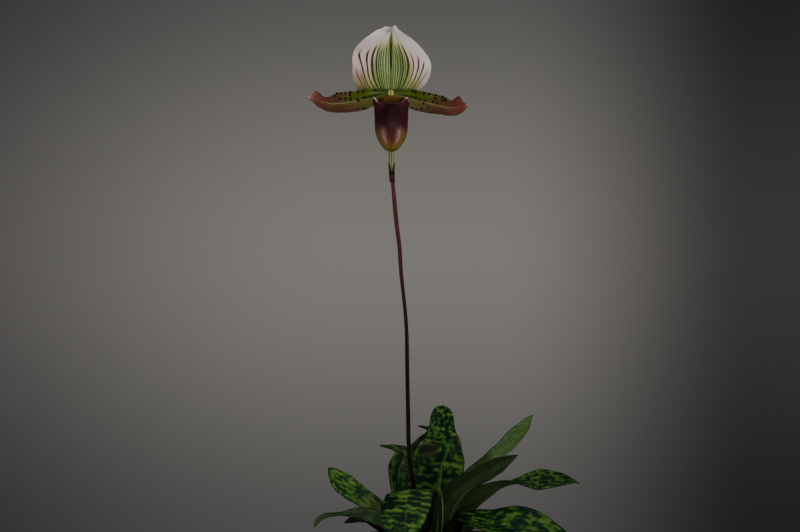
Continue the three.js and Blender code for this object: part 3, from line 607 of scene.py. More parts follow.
def haired(name, roots, length, thickness, seed):
    """Short hairs on roots, each a place and a direction, leaning and long at random."""
    random_ = random.Random(seed)
    template = hair_template()
    transforms = []
    for place, direction in roots:
        lean = Vector(direction) + Vector([random_.uniform(-0.35, 0.35) for _ in range(3)])
        turn = lean.to_track_quat("Z", "Y").to_matrix().to_4x4()
        size = length * random_.uniform(0.6, 1.15) * MM
        scale = Matrix.Diagonal((thickness * MM, thickness * MM, size, 1))
        transforms.append(Matrix.Translation(Vector(place) * MM) @ turn @ scale)
    piece = stamped(name, template, transforms)
    bpy.data.objects.remove(template)
    return piece


def stand_for(piece, node):
    """Puts a finished piece in the place of a node."""
    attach(piece, "root")
    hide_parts(node)


def wear(piece, *finishes):
    """Gives a piece its finishes, one to a slot."""
    piece.data.materials.clear()
    for finish in finishes:
        piece.data.materials.append(finish)


# ---------------------------------------------------------------- finishes


class Value:
    """A number, colour or vector of a finish, from a node's socket."""

    def __init__(self, finish, socket):
        self.finish = finish
        self.socket = socket

    def math(self, operation, *terms):
        return self.finish.node("Math", {"operation": operation}, dict(enumerate(terms)))

    def __add__(self, other):
        return self.math("ADD", self, other)

    def __sub__(self, other):
        return self.math("SUBTRACT", self, other)

    def __rsub__(self, other):
        return self.math("SUBTRACT", other, self)

    def __mul__(self, other):
        return self.math("MULTIPLY", self, other)

    def __truediv__(self, other):
        return self.math("DIVIDE", self, other)

    def __pow__(self, other):
        return self.math("POWER", self, other)

    def __abs__(self):
        return self.math("ABSOLUTE", self)

    __radd__ = __add__
    __rmul__ = __mul__

    def floor(self):
        return self.math("FLOOR", self)

    def fraction(self):
        return self.math("FRACT", self)

    def sine(self):
        return self.math("SINE", self)

    def most(self, other):
        return self.math("MAXIMUM", self, other)

    def least(self, other):
        return self.math("MINIMUM", self, other)

    def step(self, low, high):
        """0 below low, 1 above high, and smooth between them."""
        settings = {"interpolation_type": "SMOOTHSTEP"}
        return self.finish.node("MapRange", settings, {0: self, 1: low, 2: high, 3: 0.0, 4: 1.0})

    def peak(self, middle, width):
        """1 at middle, falling to 0 at width from it."""
        return 1 - abs(self - middle).step(0.0, width)

    def out(self, name):
        return Value(self.finish, self.socket.node.outputs[name])


class Finish:
    """A material built from nodes: colour is what lies on it so far."""

    def __init__(self, name, tree=None):
        if tree is None:
            self.material = bpy.data.materials.new(name)
            self.material.use_nodes = True
            tree = self.material.node_tree
        self.tree = tree
        self.tree.nodes.clear()
        self.colour = None

    def node(self, kind, settings=None, sockets=None):
        """Adds a node: settings first, then its sockets. Returns its first output that is in use."""
        node = self.tree.nodes.new("ShaderNode" + kind)
        for name, value in (settings or {}).items():
            if name == "stops":
                ramp = node.color_ramp
                while len(ramp.elements) > 1:
                    ramp.elements.remove(ramp.elements[-1])
                ramp.elements[0].position = value[0][0]
                ramp.elements[0].color = (*value[0][1], 1)
                for position, colour in value[1:]:
                    ramp.elements.new(position).color = (*colour, 1)
            else:
                setattr(node, name, value)
        for key, value in (sockets or {}).items():
            socket = node.inputs[key]
            if isinstance(value, Value):
                self.tree.links.new(value.socket, socket)
            elif socket.type == "RGBA":
                socket.default_value = (*value, 1)
            else:
                socket.default_value = value
        return Value(self, next(o for o in node.outputs if o.enabled)) if len(node.outputs) else node

    def blade(self):
        """Along and across a piece, from its UV map."""
        split = self.node("SeparateXYZ", None, {0: self.node("UVMap", {"uv_map": "blade"})})
        return split, split.out("Y")

    def place(self, kind="Object"):
        return self.node("TexCoord").out(kind)

    def measure(self, axis):
        """How far a place is along an axis, in metres."""
        return self.node("SeparateXYZ", None, {0: self.place()}).out(axis)

    def stretched(self, *times):
        """Places, with each axis made that many times as long."""
        return self.node("VectorMath", {"operation": "MULTIPLY"}, {0: self.place(), 1: times})

    def vector(self, x, y, z=0.0):
        return self.node("CombineXYZ", None, {0: x, 1: y, 2: z})

    def noise(self, at, detail=2.0, scale=1.0, roughness=0.5):
        """Clouds from 0 to 1, at a vector or at the values that make one up."""
        at = self.vector(*at) if isinstance(at, tuple) else at
        sockets = {"Vector": at, "Scale": scale, "Detail": detail, "Roughness": roughness}
        return self.node("TexNoise", None, sockets)

    def cells(self, at, scale=1.0, feature="F1"):
        at = self.vector(*at) if isinstance(at, tuple) else at
        return self.node("TexVoronoi", {"feature": feature}, {"Vector": at, "Scale": scale})

    def chance(self, value):
        """A fixed random number for each whole number."""
        return self.node("TexWhiteNoise", {"noise_dimensions": "1D"}, {"W": value})

    def mix(self, share, first, second):
        return self.node("Mix", {"data_type": "RGBA"}, {0: share, 6: first, 7: second})

    def ramp(self, value, *stops):
        return self.node("ValToRGB", {"stops": stops}, {0: value})

    def lay(self, share, colour):
        """Lays a colour over the finish's colour so far, as much as share says."""
        self.colour = self.mix(share, self.colour, colour)

    def brighten(self, times):
        self.colour = self.node("VectorMath", {"operation": "SCALE"}, {0: self.colour, "Scale": times})

    def surface(self, roughness, relief=None, depth=0.1, gloss=0.5, **constants):
        """Closes the finish: relief is a height from 0 to 1, worth depth millimetres."""
        sockets = {"Base Color": self.colour, "Roughness": roughness, "Specular IOR Level": gloss}
        sockets.update({name.replace("_", " "): value for name, value in constants.items()})
        if relief is not None:
            bump = {"Height": relief, "Distance": depth * MM, "Strength": 1.0}
            sockets["Normal"] = self.node("Bump", None, bump)
        shader = self.node("BsdfPrincipled", None, sockets)
        self.node("OutputMaterial", None, {"Surface": shader})
        return self.material


def shade(colour, times):
    """A plain colour, made that many times as bright."""
    return tuple(times * part for part in colour)


def spot(u, v, along_at, along_reach, across_at, across_reach):
    """1 at a place on a blade, falling to 0 at those reaches along it and across it."""
    return u.peak(along_at, along_reach) * v.peak(across_at, across_reach)


def stripes(value):
    """Falls from 1 to 0 and rises to 1 again over each whole step of a value."""
    return abs(value.fraction() - 0.5) * 2


DEEP_GREEN = (0.003, 0.0128, 0.0058)
LEAF_GREEN = (0.013, 0.048, 0.0075)
YELLOW_GREEN = (0.05, 0.118, 0.013)
PALE_GREEN = (0.095, 0.178, 0.03)


def leaf_pattern(f, length, look):
    """What a leaf's two faces share: places on it, its blocks, and how near a fine vein is.

    bands in its look is how often the blocks change across the leaf and along it, for each millimetre.
    bars is how much they line up across it, and how many millimetres apart.
    """
    seed = look["seed"]
    often_across, often_along = look.get("bands", (0.26, 0.32))
    amount, pitch = look.get("bars", (0.03, 4.0))
    u, v = f.blade()
    down, wide = u * length, v * PATTERN_HALF
    bend = f.noise((wide * 0.12, down * 0.08, seed + 1))
    lane = (wide / LANE + 0.8 * bend + 100).floor()
    stepped = down + 0.7 * f.chance(lane + seed) + 3.0 * bend
    place = lane * (0.65 * LANE) + wide * 0.35
    patch = f.noise((place * often_across, stepped * often_along, seed), 1.5)
    broad = f.noise((wide * 0.07, down * 0.05, seed + 5), 1.0)
    across = (stepped * (2 * math.pi / pitch) + 5 * broad).sine()
    patch = patch + 0.3 * (broad - 0.5) + amount * across
    return u, v, down, wide, patch, stripes(wide / LANE)


def leaf_face(name, length, look):
    """The upper face: deep green broken by yellow-green blocks in bands between its fine veins.

    Its look says how much light is painted into it (light), as greens made lighter or darker for the light
    that leaf gets, and how clear its midrib is (rib). Only some leaves have the others: crowded lists spots
    with more or fewer blocks, deep lightens the green between the blocks, dull greys them, plain leaves the
    foot pale as far as that share of the length, hollow is a spot of painted shade under a crest, ribs_at
    moves the midrib across, ribbed is where along the leaf it ends, and pale whitens it.
    """
    f = Finish(name)
    u, v, down, wide, patch, edge = leaf_pattern(f, length, look)
    seed, light, pale = look["seed"], look["light"], look.get("pale", 0.0)
    for *place, amount in look.get("crowded", ()):
        patch = patch + spot(u, v, *place) * amount
    deep = shade(DEEP_GREEN, look.get("deep", 1.0))
    # light makes these greens lighter or darker: painted light for how lit this leaf is.
    f.colour = f.mix(patch.step(0.44, 0.53), deep, shade(LEAF_GREEN, light))
    f.lay(patch.step(0.51, 0.61), shade(YELLOW_GREEN, light))
    f.lay(patch.step(0.61, 0.73), shade(PALE_GREEN, light))
    f.lay(edge.step(0.55, 1.0) * 0.35, deep)
    if "dull" in look:
        f.lay(look["dull"], shade((0.018, 0.032, 0.0125), light))
    if "plain" in look:
        upper = f.mix(patch.step(0.42, 0.6), deep, (0.038, 0.078, 0.012))
        lower = f.mix(patch.step(0.42, 0.6), (0.044, 0.08, 0.016), (0.092, 0.146, 0.034))
        foot = u.step(look["plain"], look["plain"] - 0.12)
        f.lay(foot * 0.9, f.mix(v.step(0.5, 0.75), lower, upper))
    if "hollow_shade" in look:
        # Painted shade: a dark spot under the leaf's crest, where the crest shades it.
        f.lay(spot(u, v, *look["hollow_shade"]).step(0.1, 0.7) * 0.75, (0.0095, 0.0115, 0.0065))
    start, shift, low, high = look.get("ribs_at", (0.0, 0.0, 0.0, 1.0))
    beside = wide - PATTERN_HALF * (start + shift * u.step(low, high))
    broken = 0.55 + 0.45 * f.noise((down * 0.35, seed + 8)).step(0.35, 0.6)
    midrib = (1 - abs(beside).step(0.15, 0.85 + 0.6 * pale)) * broken.most(pale)
    end = look.get("ribbed", 1.0)
    green = (0.05 + 0.06 * pale, 0.135 + 0.03 * pale, 0.03 + 0.05 * pale)
    f.lay(midrib * look["rib"] * u.step(end, end - 0.15), green)
    f.lay(abs(v).step(0.955, 0.985) * 0.8, DEEP_GREEN)
    grain = f.noise((wide * 1.6, down * 0.5, seed))
    blocks = patch.step(0.5, 0.56)
    relief = 0.55 * (1 - edge.step(0.6, 1.0)) + 0.25 * blocks + 0.4 * grain
    roughness = 0.42 + 0.1 * blocks + 0.12 * (grain - 0.5)
    return f.surface(roughness, relief, 0.09, gloss=0.05)


# The undersides: darker and lighter colour, and how much the blocks of the upper face show through.
# Each kind is the same underside in painted light or shade, lighter or darker for the light its leaves get.
LEAF_BACKS = {
    None: ((0.034, 0.06, 0.02), (0.054, 0.098, 0.028), 0.4),
    "dull": ((0.04, 0.068, 0.022), (0.068, 0.12, 0.038), 0.5),
    "lit": ((0.125, 0.22, 0.068), (0.205, 0.335, 0.115), 0.6),
    "mid": ((0.06, 0.105, 0.046), (0.125, 0.205, 0.08), 0.7),
    "dark": ((0.014, 0.02, 0.008), (0.02, 0.034, 0.01), 0.4),
    "speckled": ((0.008, 0.017, 0.006), (0.04, 0.08, 0.022), 0.9),
}


def leaf_back(name, length, look):
    """The underside: dull grey olive, with the blocks of the upper face faintly through it.

    back in its look names its colours, painted lighter or darker for the light that leaf gets. Only some
    leaves have shaded, how much painted shade lies on one half of it, and tip, how green its tip is.
    """
    f = Finish(name)
    u, v, down, wide, patch, edge = leaf_pattern(f, length, look)
    seed = look["seed"]
    low, high, show = LEAF_BACKS[look.get("back")]
    f.colour = f.mix(patch.step(0.5, 0.58) * show, low, high)
    clouds = f.noise((wide * 0.2, down * 0.1, seed + 4), 3.0)
    f.lay(clouds.step(0.35, 0.75) * 0.5, shade(low, 0.62))
    f.lay(edge.step(0.7, 1.0) * 0.25, shade(low, 0.5))
    streak = f.noise((wide * 0.9, down * 0.05, seed + 7))
    f.lay(streak.step(0.42, 0.68) * 0.45, shade(low, 0.5))
    if "shaded" in look:
        f.lay(v.step(0.3, 0.6) * look["shaded"], (0.02, 0.024, 0.012))
        rim = (1 - abs(wide + 0.6).step(0.5, 1.2)) * u.step(0.66, 0.55)
        f.lay(rim * 0.8, (0.12, 0.16, 0.07))
    if "tip" in look:
        f.lay(u.step(0.66, 0.92) * (0.6 + 0.4 * patch.step(0.6, 0.5)) * look["tip"], (0.05, 0.105, 0.02))
    keel = 1 - abs(abs(wide) - 0.55).step(0.15, 0.5)
    f.lay(keel * 0.5, shade(low, 0.45))
    f.lay(abs(v).step(0.96, 0.985) * 0.6, shade(low, 0.35))
    grain = f.noise((wide * 1.8, down * 0.6, seed))
    relief = 0.6 * edge.step(0.7, 1.0) + 0.4 * grain
    return f.surface(0.52 + 0.15 * (grain - 0.5), relief, 0.08, gloss=0.06)


def vein_course(u, reach, gather, spread):
    """Where across a sepal the vein that comes by this point crosses the middle of its length."""
    away = u - 0.42
    inner = reach * away * away * gather * (1 - reach.step(0.4, 0.9))
    outer = away.least(0.12) * (reach - 0.45) * reach.step(0.45, 0.8) * spread
    return reach + inner - outer


def vein_strength(u, course, veins):
    """How dark the veins of one side make a sepal."""
    total = 0.0
    for middle, width, strength, end in veins:
        total = course.peak(middle, width) * strength * u.step(end + 0.05, end - 0.12) + total
    return total.least(1.0)


def sepal_face():
    """White flushed with pink, green in the middle and at the foot, with dark veins that fan and meet."""
    f = Finish("sepal face")
    u, v = f.blade()
    reach = abs(v)
    cloud = f.noise((v * 3, u * 4), 3.0)
    f.colour = f.mix(cloud.step(0.35, 0.7), (0.9, 0.83, 0.76), (0.88, 0.77, 0.73))
    f.lay(v.step(-0.3, -0.75) * u.step(0.95, 0.6) * 0.8, (0.69, 0.52, 0.48))
    pink = reach.peak(0.66, 0.36) * u.peak(0.4, 0.46)
    f.lay(pink * 0.9, (0.74, 0.53, 0.49))
    tan = reach.peak(0.4, 0.26) * u.step(0.88, 0.6) * u.step(0.1, 0.36)
    f.lay(tan * 0.9, (0.74, 0.58, 0.36))
    lime = (reach - 0.22 * u).step(0.36, 0.14) * u.step(0.93, 0.66)
    f.lay(lime * 0.85, (0.54, 0.55, 0.2))
    wobble = 0.02 * (f.noise((v * 5, u * 7, 2.0)) - 0.5)
    to_left = vein_course(u, wobble - v, 2.4, 1.5)
    to_right = vein_course(u, v + wobble, 1.8, 1.3)
    course = to_left.most(to_right)
    middle = course.step(0.385, 0.335) * (u + course * 0.5).step(0.82, 0.62)
    streak = f.noise((v * 75, u * 5))
    green = f.mix(streak.step(0.4, 0.62), (0.3, 0.39, 0.14), (0.4, 0.51, 0.23))
    green = f.mix(v.peak(0.2, 0.2) * u.step(0.1, 0.35) * 0.55, green, (0.18, 0.22, 0.045))
    f.lay(middle, green)
    foot = (u - 0.12 * (1 - reach) * (1 - reach)).step(0.26, 0.03) * reach.step(1.05, 0.7)
    f.lay(foot * 0.85, f.mix(reach.step(0.25, 0.7), (0.27, 0.36, 0.09), (0.52, 0.52, 0.19)))
    between = course.step(0.36, 0.46) * reach.step(0.96, 0.7) * u.step(0.4, 0.1)
    f.lay(between * 0.85, (0.35, 0.41, 0.12))
    flank = course.step(0.62, 0.46) * (1 - middle) * (u + course * 0.5).step(0.86, 0.58)
    f.lay(flank * 0.9, f.mix(u.step(0.3, 0.6), (0.25, 0.34, 0.08), (0.36, 0.37, 0.14)))
    rust = v.step(-0.5, -0.8) * u.step(0.4, 0.2)
    f.lay(rust * 0.8, (0.33, 0.235, 0.11))
    beside = (1 - reach.step(0.04, 0.16)) * u.step(0.45, 0.62) * u.step(0.9, 0.8)
    f.lay(beside * 0.8, (0.34, 0.35, 0.075))
    groove = (1 - reach.step(0.025, 0.085)) * u.step(0.6, 0.72) * u.step(1.0, 0.93)
    f.lay(groove * 0.95, (0.105, 0.1, 0.018))
    # Painted shade on the left lobe near the tip, where it folds in towards the groove.
    dull = v.peak(-0.24, 0.34) * u.step(0.8, 0.97)
    f.lay(dull * 0.75, (0.3, 0.24, 0.21))
    brown = v.step(0.72, 0.98) * u.step(0.52, 0.25)
    f.lay(brown * 0.45, (0.44, 0.34, 0.22))
    # Painted shade in the recess at the sepal's foot, above the column.
    socket = u.step(0.075, 0.025) * reach.step(0.85, 0.45)
    f.lay(socket * 0.75, (0.04, 0.06, 0.01))
    left = vein_strength(u, to_left, SEPAL_VEINS[-1])
    right = vein_strength(u, to_right, SEPAL_VEINS[1])
    middle_vein = (1 - reach.step(0.016, 0.048)) * u.step(0.78, 0.68) * (0.6 + 0.4 * u.step(0.25, 0.42))
    wander = f.noise((v * 14, u * 16))
    veins = ((left + right) * (0.7 + 0.6 * wander)).least(1.0)
    hue = f.mix(course.step(0.25, 0.42), (0.04, 0.074, 0.012), (0.03, 0.006, 0.006))
    hue = f.mix(u.step(0.3, 0.1), hue, (0.03, 0.05, 0.006))
    hue = f.mix(reach.step(0.5, 0.8) * u.step(0.4, 0.12) * 0.9, hue, (0.15, 0.045, 0.022))
    f.lay(veins * 0.96, hue)
    f.lay(middle_vein, (0.012, 0.015, 0.003))
    relief = 0.5 * streak + 0.5 * (1 - veins)
    roughness = 0.5 + 0.12 * (cloud - 0.5)
    return f.surface(roughness, relief, 0.1, gloss=0.15, Subsurface_Weight=0.06, Subsurface_Scale=0.002)


def sepal_back():
    """The back of the sepals: greener and duller, its veins showing as soft ribs."""
    f = Finish("sepal back")
    u, v = f.blade()
    reach = abs(v)
    ribs = stripes(v * 11.0 + 0.25 * f.noise((v * 6, u * 6)))
    f.colour = f.mix(reach.step(0.35, 0.95), (0.36, 0.42, 0.2), (0.66, 0.58, 0.54))
    f.lay(u.step(0.35, 0.0) * 0.7, (0.22, 0.3, 0.08))
    f.lay(ribs.step(0.72, 1.0) * u.step(0.8, 0.5) * 0.65, (0.14, 0.09, 0.05))
    fine = f.noise((v * 80, u * 8))
    return f.surface(0.58 + 0.1 * (fine - 0.5), ribs * 0.6 + fine * 0.3, 0.12, gloss=0.3)


def petal_face(side):
    """Green at the foot, olive in the middle and rose at the tip, with a cream rib down its length."""
    f = Finish("petal face " + side)
    u, v = f.blade()
    streak = f.noise((v * 26, u * 5), 3.0)
    cloud = f.noise((v * 3, u * 14, 4.0))
    upper = f.ramp(
        u, (0.0, (0.062, 0.105, 0.003)), (0.24, (0.074, 0.11, 0.003)), (0.46, (0.088, 0.086, 0.01)),
        (0.62, (0.07, 0.034, 0.007)), (0.78, (0.105, 0.027, 0.014)), (0.9, (0.165, 0.044, 0.034)),
        (0.965, (0.26, 0.09, 0.074)), (1.0, (0.48, 0.31, 0.25)),
    )
    lower = f.ramp(
        u, (0.0, (0.07, 0.088, 0.006)), (0.24, (0.078, 0.078, 0.002)), (0.42, (0.064, 0.042, 0.001)),
        (0.62, (0.054, 0.018, 0.002)), (0.8, (0.095, 0.021, 0.011)), (0.91, (0.15, 0.032, 0.023)),
        (0.965, (0.26, 0.1, 0.08)), (1.0, (0.48, 0.31, 0.25)),
    )
    f.colour = f.mix(v.step(-0.08, 0.1), lower, upper)
    f.brighten(0.7 + 0.6 * streak.step(0.36, 0.66))
    blotch = cloud.step(0.5, 0.68) * u.step(0.25, 0.45) * u.step(0.85, 0.65)
    f.lay(blotch * 0.45, (0.055, 0.022, 0.006))
    edge = v.step(-0.55, -0.98) * u.step(0.15, 0.45)
    f.lay(edge * 0.75, (0.05, 0.01, 0.01))
    rim = v.step(0.78, 0.99) * u.step(0.5, 0.7) * u.step(0.97, 0.9)
    f.lay(rim * 0.8, (0.03, 0.007, 0.006))
    rib = (v.peak(-0.03, 0.075) + v.peak(-0.22, 0.05) * 0.6) * u.step(0.16, 0.3) * u.step(0.95, 0.72)
    f.lay(rib.least(1.0) * 0.7, (0.22, 0.18, 0.045))
    # Painted shade in the groove near the foot, and a painted highlight along the ridge above it, stronger
    # on the left petal.
    groove = v.peak(0.16, 0.3) * u.step(0.02, 0.08) * u.step(0.36, 0.2)
    f.lay(groove * 0.9, (0.01, 0.026, 0.003))
    ridge = v.peak(0.55, 0.22) * u.step(0.0, 0.06) * u.step(0.3, 0.16)
    f.lay(ridge * (0.6 if side == "left" else 0.2), (0.22, 0.3, 0.12))
    throat = u.step(0.13, 0.05) * v.step(-0.25, -0.45)
    f.lay(throat * 0.8, (0.06, 0.022, 0.01))
    # Painted light and shade: the right petal is darker over most of its length and lighter near its foot.
    if side == "right":
        f.brighten(0.92 + 0.3 * u.step(0.32, 0.14))
    relief = 0.6 * streak + 0.4 * cloud
    roughness = 0.4 + 0.2 * (cloud - 0.5)
    return f.surface(roughness, relief, 0.16, gloss=0.1, Subsurface_Weight=0.04, Subsurface_Scale=0.002)


def petal_back():
    """The back of the petals: the same change from green to rose, paler and duller."""
    f = Finish("petal back")
    u, v = f.blade()
    streak = f.noise((v * 30, u * 6), 3.0)
    f.colour = f.ramp(
        u, (0.0, (0.16, 0.2, 0.06)), (0.45, (0.17, 0.15, 0.06)), (0.8, (0.22, 0.1, 0.07)),
        (1.0, (0.5, 0.34, 0.28)),
    )
    f.lay(streak.step(0.4, 0.7) * 0.5, (0.1, 0.07, 0.03))
    f.lay((1 - abs(v).step(0.03, 0.12)) * 0.7, (0.28, 0.28, 0.11))
    return f.surface(0.5 + 0.1 * (streak - 0.5), streak, 0.12, gloss=0.35)


def wart_skin():
    """Warts: maroon, all but black, and a little glossy."""
    f = Finish("warts")
    grain = f.noise(f.place(), 2.0, 1800.0)
    f.colour = f.mix(grain.step(0.4, 0.65), (0.003, 0.0014, 0.0016), (0.012, 0.005, 0.005))
    return f.surface(0.32 + 0.2 * grain, grain, 0.05, gloss=0.15)


def lip_skin():
    """The pouch outside: dark maroon above, brown red in the middle, amber and green at the toe."""
    f = Finish("pouch")
    turn, s = f.blade()
    around = abs(turn)  # 0 in front, 0.5 behind
    mottle = f.noise((turn * 16, s * 9), 3.0)
    height = s + 0.16 * (mottle - 0.5)
    front = f.ramp(
        height, (0.0, (0.11, 0.105, 0.002)), (0.14, (0.185, 0.115, 0.001)), (0.25, (0.15, 0.05, 0.004)),
        (0.36, (0.07, 0.013, 0.006)), (0.48, (0.04, 0.006, 0.006)), (0.64, (0.024, 0.0032, 0.005)),
        (0.82, (0.014, 0.0012, 0.0024)), (0.95, (0.024, 0.0022, 0.0032)), (1.0, (0.04, 0.006, 0.006)),
    )
    # Near the top, the sides' purple red is partly painted sheen.
    sides = f.ramp(
        height, (0.0, (0.12, 0.115, 0.002)), (0.22, (0.225, 0.17, 0.002)), (0.36, (0.185, 0.095, 0.005)),
        (0.48, (0.08, 0.02, 0.01)), (0.62, (0.04, 0.0065, 0.011)), (0.8, (0.042, 0.006, 0.012)),
        (0.93, (0.085, 0.018, 0.018)), (1.0, (0.2, 0.062, 0.05)),
    )
    f.colour = f.mix(around.step(0.05, 0.17), front, sides)
    f.lay(around.step(0.205, 0.245) * 0.75, (0.01, 0.002, 0.002))
    back = f.ramp(height, (0.0, (0.16, 0.14, 0.02)), (0.5, (0.17, 0.16, 0.05)), (1.0, (0.2, 0.17, 0.06)))
    f.lay(around.step(0.3, 0.42), back)
    # Painted highlight: a pink tan glow on each side of the lower pouch, round the light it catches.
    highlight_glow = around.peak(0.095, 0.075) * height.peak(0.38, 0.24)
    f.lay(highlight_glow * 0.75, (0.25, 0.09, 0.052))
    netting = f.cells((turn * 26, s * 16), feature="DISTANCE_TO_EDGE")
    veins = (1 - netting.step(0.0, 0.09)) * s.step(0.6, 0.3)
    f.lay(veins * 0.3, (0.1, 0.022, 0.012))
    seam = (1 - around.step(0.003, 0.012)) * s.step(0.66, 0.5)
    f.lay(seam * 0.55, (0.06, 0.012, 0.01))
    rim = s.step(0.955, 0.995) * around.peak(0.172, 0.055)
    f.lay(rim, (0.62, 0.46, 0.38))
    grain = f.noise((turn * 50, s * 34), 3.0)
    coat = s.step(0.74, 0.45) * s.step(0.02, 0.24) * 0.68
    swell = f.noise((turn * 22, s * 9, 7.0), 1.0)
    relief = 0.22 * grain + 0.12 * netting.step(0.0, 0.15) + 0.66 * swell
    roughness = 0.42 + 0.12 * (grain - 0.5)
    return f.surface(roughness, relief, 0.35, gloss=0.12, Coat_Weight=coat, Coat_Roughness=0.33)


def lip_lining():
    """Inside the pouch and over its infolded sides: green tan, freckled with maroon."""
    f = Finish("pouch lining")
    turn, s = f.blade()
    freckles = f.cells((turn * 40, s * 22))
    folds = f.noise((turn * 14, s * 7))
    f.colour = f.mix(folds.step(0.4, 0.62), (0.075, 0.044, 0.012), (0.07, 0.02, 0.009))
    f.lay((1 - freckles.step(0.12, 0.3)) * 0.7, (0.08, 0.014, 0.01))
    f.lay(s.step(1.1, 1.02) * 0.5, (0.09, 0.03, 0.018))
    grain = f.noise((turn * 60, s * 30))
    return f.surface(0.45 + 0.1 * (grain - 0.5), grain, 0.08, gloss=0.15)


def column_skin():
    """The column: yellow green, paler down its two front edges."""
    f = Finish("column")
    grain = f.noise(f.place(), 3.0, 700.0)
    beside = abs(f.measure("X") * 1000 - BLOOM[0])
    f.colour = f.mix(grain.step(0.35, 0.65), (0.24, 0.28, 0.03), (0.36, 0.38, 0.07))
    f.lay(beside.step(0.65, 0.15) * 0.8, (0.085, 0.11, 0.008))
    f.lay(beside.peak(1.15, 0.55) * 0.7, (0.58, 0.58, 0.2))
    return f.surface(0.45 + 0.1 * grain, grain, 0.08)


def staminode_skin():
    """The shield of the column: red brown, netted with green in the middle."""
    f = Finish("staminode")
    across, up = f.blade()
    netting = f.cells((across * 9, up * 7), feature="DISTANCE_TO_EDGE")
    centre = ((across / 0.42) ** 2.0 + ((up - 0.05) / 0.62) ** 2.0).step(1.2, 0.4)
    brown = f.mix(netting.step(0.02, 0.14), (0.09, 0.024, 0.003), (0.19, 0.078, 0.008))
    green = f.mix(netting.step(0.02, 0.16), (0.026, 0.028, 0.001), (0.105, 0.09, 0.006))
    f.colour = f.mix(centre * 0.9, brown, green)
    knob = ((across / 0.1) ** 2.0 + ((up - 0.02) / 0.13) ** 2.0).step(1.2, 0.5)
    f.lay(knob * 0.6, (0.24, 0.21, 0.09))
    return f.surface(0.42 + 0.2 * netting, netting.step(0.0, 0.2), 0.15, gloss=0.15)


def scape_skin():
    """The flower stem: rose purple above and maroon lower down; among the leaves it is near black, which is
    painted shade. Finely streaked.
    """
    f = Finish("scape")
    u, turn = f.blade()
    streak = f.noise((turn * 24, u * 30), 3.0)
    f.colour = f.ramp(
        u, (0.0, (0.03, 0.034, 0.01)), (0.1, (0.004, 0.0018, 0.001)), (0.45, (0.0036, 0.0008, 0.0005)),
        (0.7, (0.04, 0.011, 0.011)), (0.88, (0.102, 0.024, 0.025)), (1.0, (0.117, 0.03, 0.031)),
    )
    f.brighten(0.6 + 0.9 * streak.step(0.35, 0.75))
    return f.surface(0.5 + 0.15 * (streak - 0.5), streak, 0.08, gloss=0.12)


def hair_skin(name, colour):
    """Hairs: one soft colour, a little lighter and darker from hair to hair."""
    f = Finish(name)
    grain = f.noise(f.place(), 1.0, 900.0)
    f.colour = f.mix(grain, shade(colour, 0.7), colour)
    return f.surface(0.6 + 0.1 * grain)


def ovary_skin():
    """The ovary: pale yellow green, olive between its ribs and purple brown towards its foot."""
    f = Finish("ovary")
    u, turn = f.blade()
    rib = stripes(turn * 6.0)
    grain = f.noise((turn * 20, u * 26), 3.0)
    f.colour = f.mix(rib.step(0.3, 0.8), (0.21, 0.2, 0.075), (0.5, 0.47, 0.24))
    f.lay(u.step(0.12, 0.0) * 0.8, (0.12, 0.07, 0.04))
    f.lay(grain.step(0.5, 0.75) * 0.3, (0.2, 0.12, 0.06))
    return f.surface(0.55 + 0.1 * (grain - 0.5), grain, 0.1)


def bract_skin():
    """The sheath: purple brown with a green flush and fine dark veins."""
    f = Finish("bract")
    u, v = f.blade()
    ribs = stripes(v * 7.0)
    cloud = f.noise((v * 3, u * 6), 3.0)
    f.colour = f.mix(cloud.step(0.35, 0.65), (0.06, 0.018, 0.018), (0.09, 0.028, 0.028))
    f.lay(u.step(0.38, 0.52), f.mix(ribs.step(0.5, 0.9), (0.165, 0.13, 0.036), (0.09, 0.048, 0.018)))
    f.lay(abs(v).step(0.8, 0.96) * u.step(0.4, 0.5) * 0.9, (0.024, 0.008, 0.006))
    f.lay(u.peak(0.38, 0.09).step(0.1, 0.6) * 0.9, (0.01, 0.003, 0.003))
    return f.surface(0.52 + 0.12 * (cloud - 0.5), ribs + cloud, 0.1, gloss=0.12)


def bark_skin():
    """Chips of bark: red brown and grey, split along their grain."""
    f = Finish("bark")
    place = f.place()
    chip = f.cells(place, 75.0).out("Color")
    tone = f.node("SeparateXYZ", None, {0: chip})
    grain = f.noise(f.stretched(420, 420, 1500), 4.0, 1.0, 0.6)
    f.colour = f.mix(tone, (0.07, 0.03, 0.016), (0.15, 0.085, 0.05))
    f.lay(grain.step(0.42, 0.62) * 0.6, (0.028, 0.014, 0.009))
    fine = f.noise(place, 3.0, 2600.0)
    f.lay(fine.step(0.55, 0.72) * 0.25, (0.22, 0.17, 0.12))
    return f.surface(0.8 + 0.15 * (grain - 0.5), grain * 0.8 + fine * 0.2, 0.6, gloss=0.2)


def crown_skin():
    """The growths' base: pale green under torn brown sheaths."""
    f = Finish("crown")
    fibres = f.noise(f.stretched(900, 900, 90), 3.0)
    bare = (f.measure("Z") + 0.006 * (fibres - 0.5)).step(0.08, 0.087)
    f.colour = f.mix(bare, (0.085, 0.055, 0.028), (0.12, 0.15, 0.05))
    f.lay(fibres.step(0.45, 0.7) * 0.55, (0.045, 0.03, 0.016))
    return f.surface(0.62 + 0.15 * (fibres - 0.5), fibres, 0.35)


def root_skin():
    """Roots: brown, under a felt of fine fuzz."""
    f = Finish("roots")
    fuzz = f.noise(f.place(), 3.0, 1500.0)
    f.colour = f.mix(fuzz.step(0.4, 0.65), (0.06, 0.034, 0.02), (0.13, 0.085, 0.052))
    return f.surface(0.9 - 0.1 * fuzz, fuzz, 0.3, gloss=0.15)


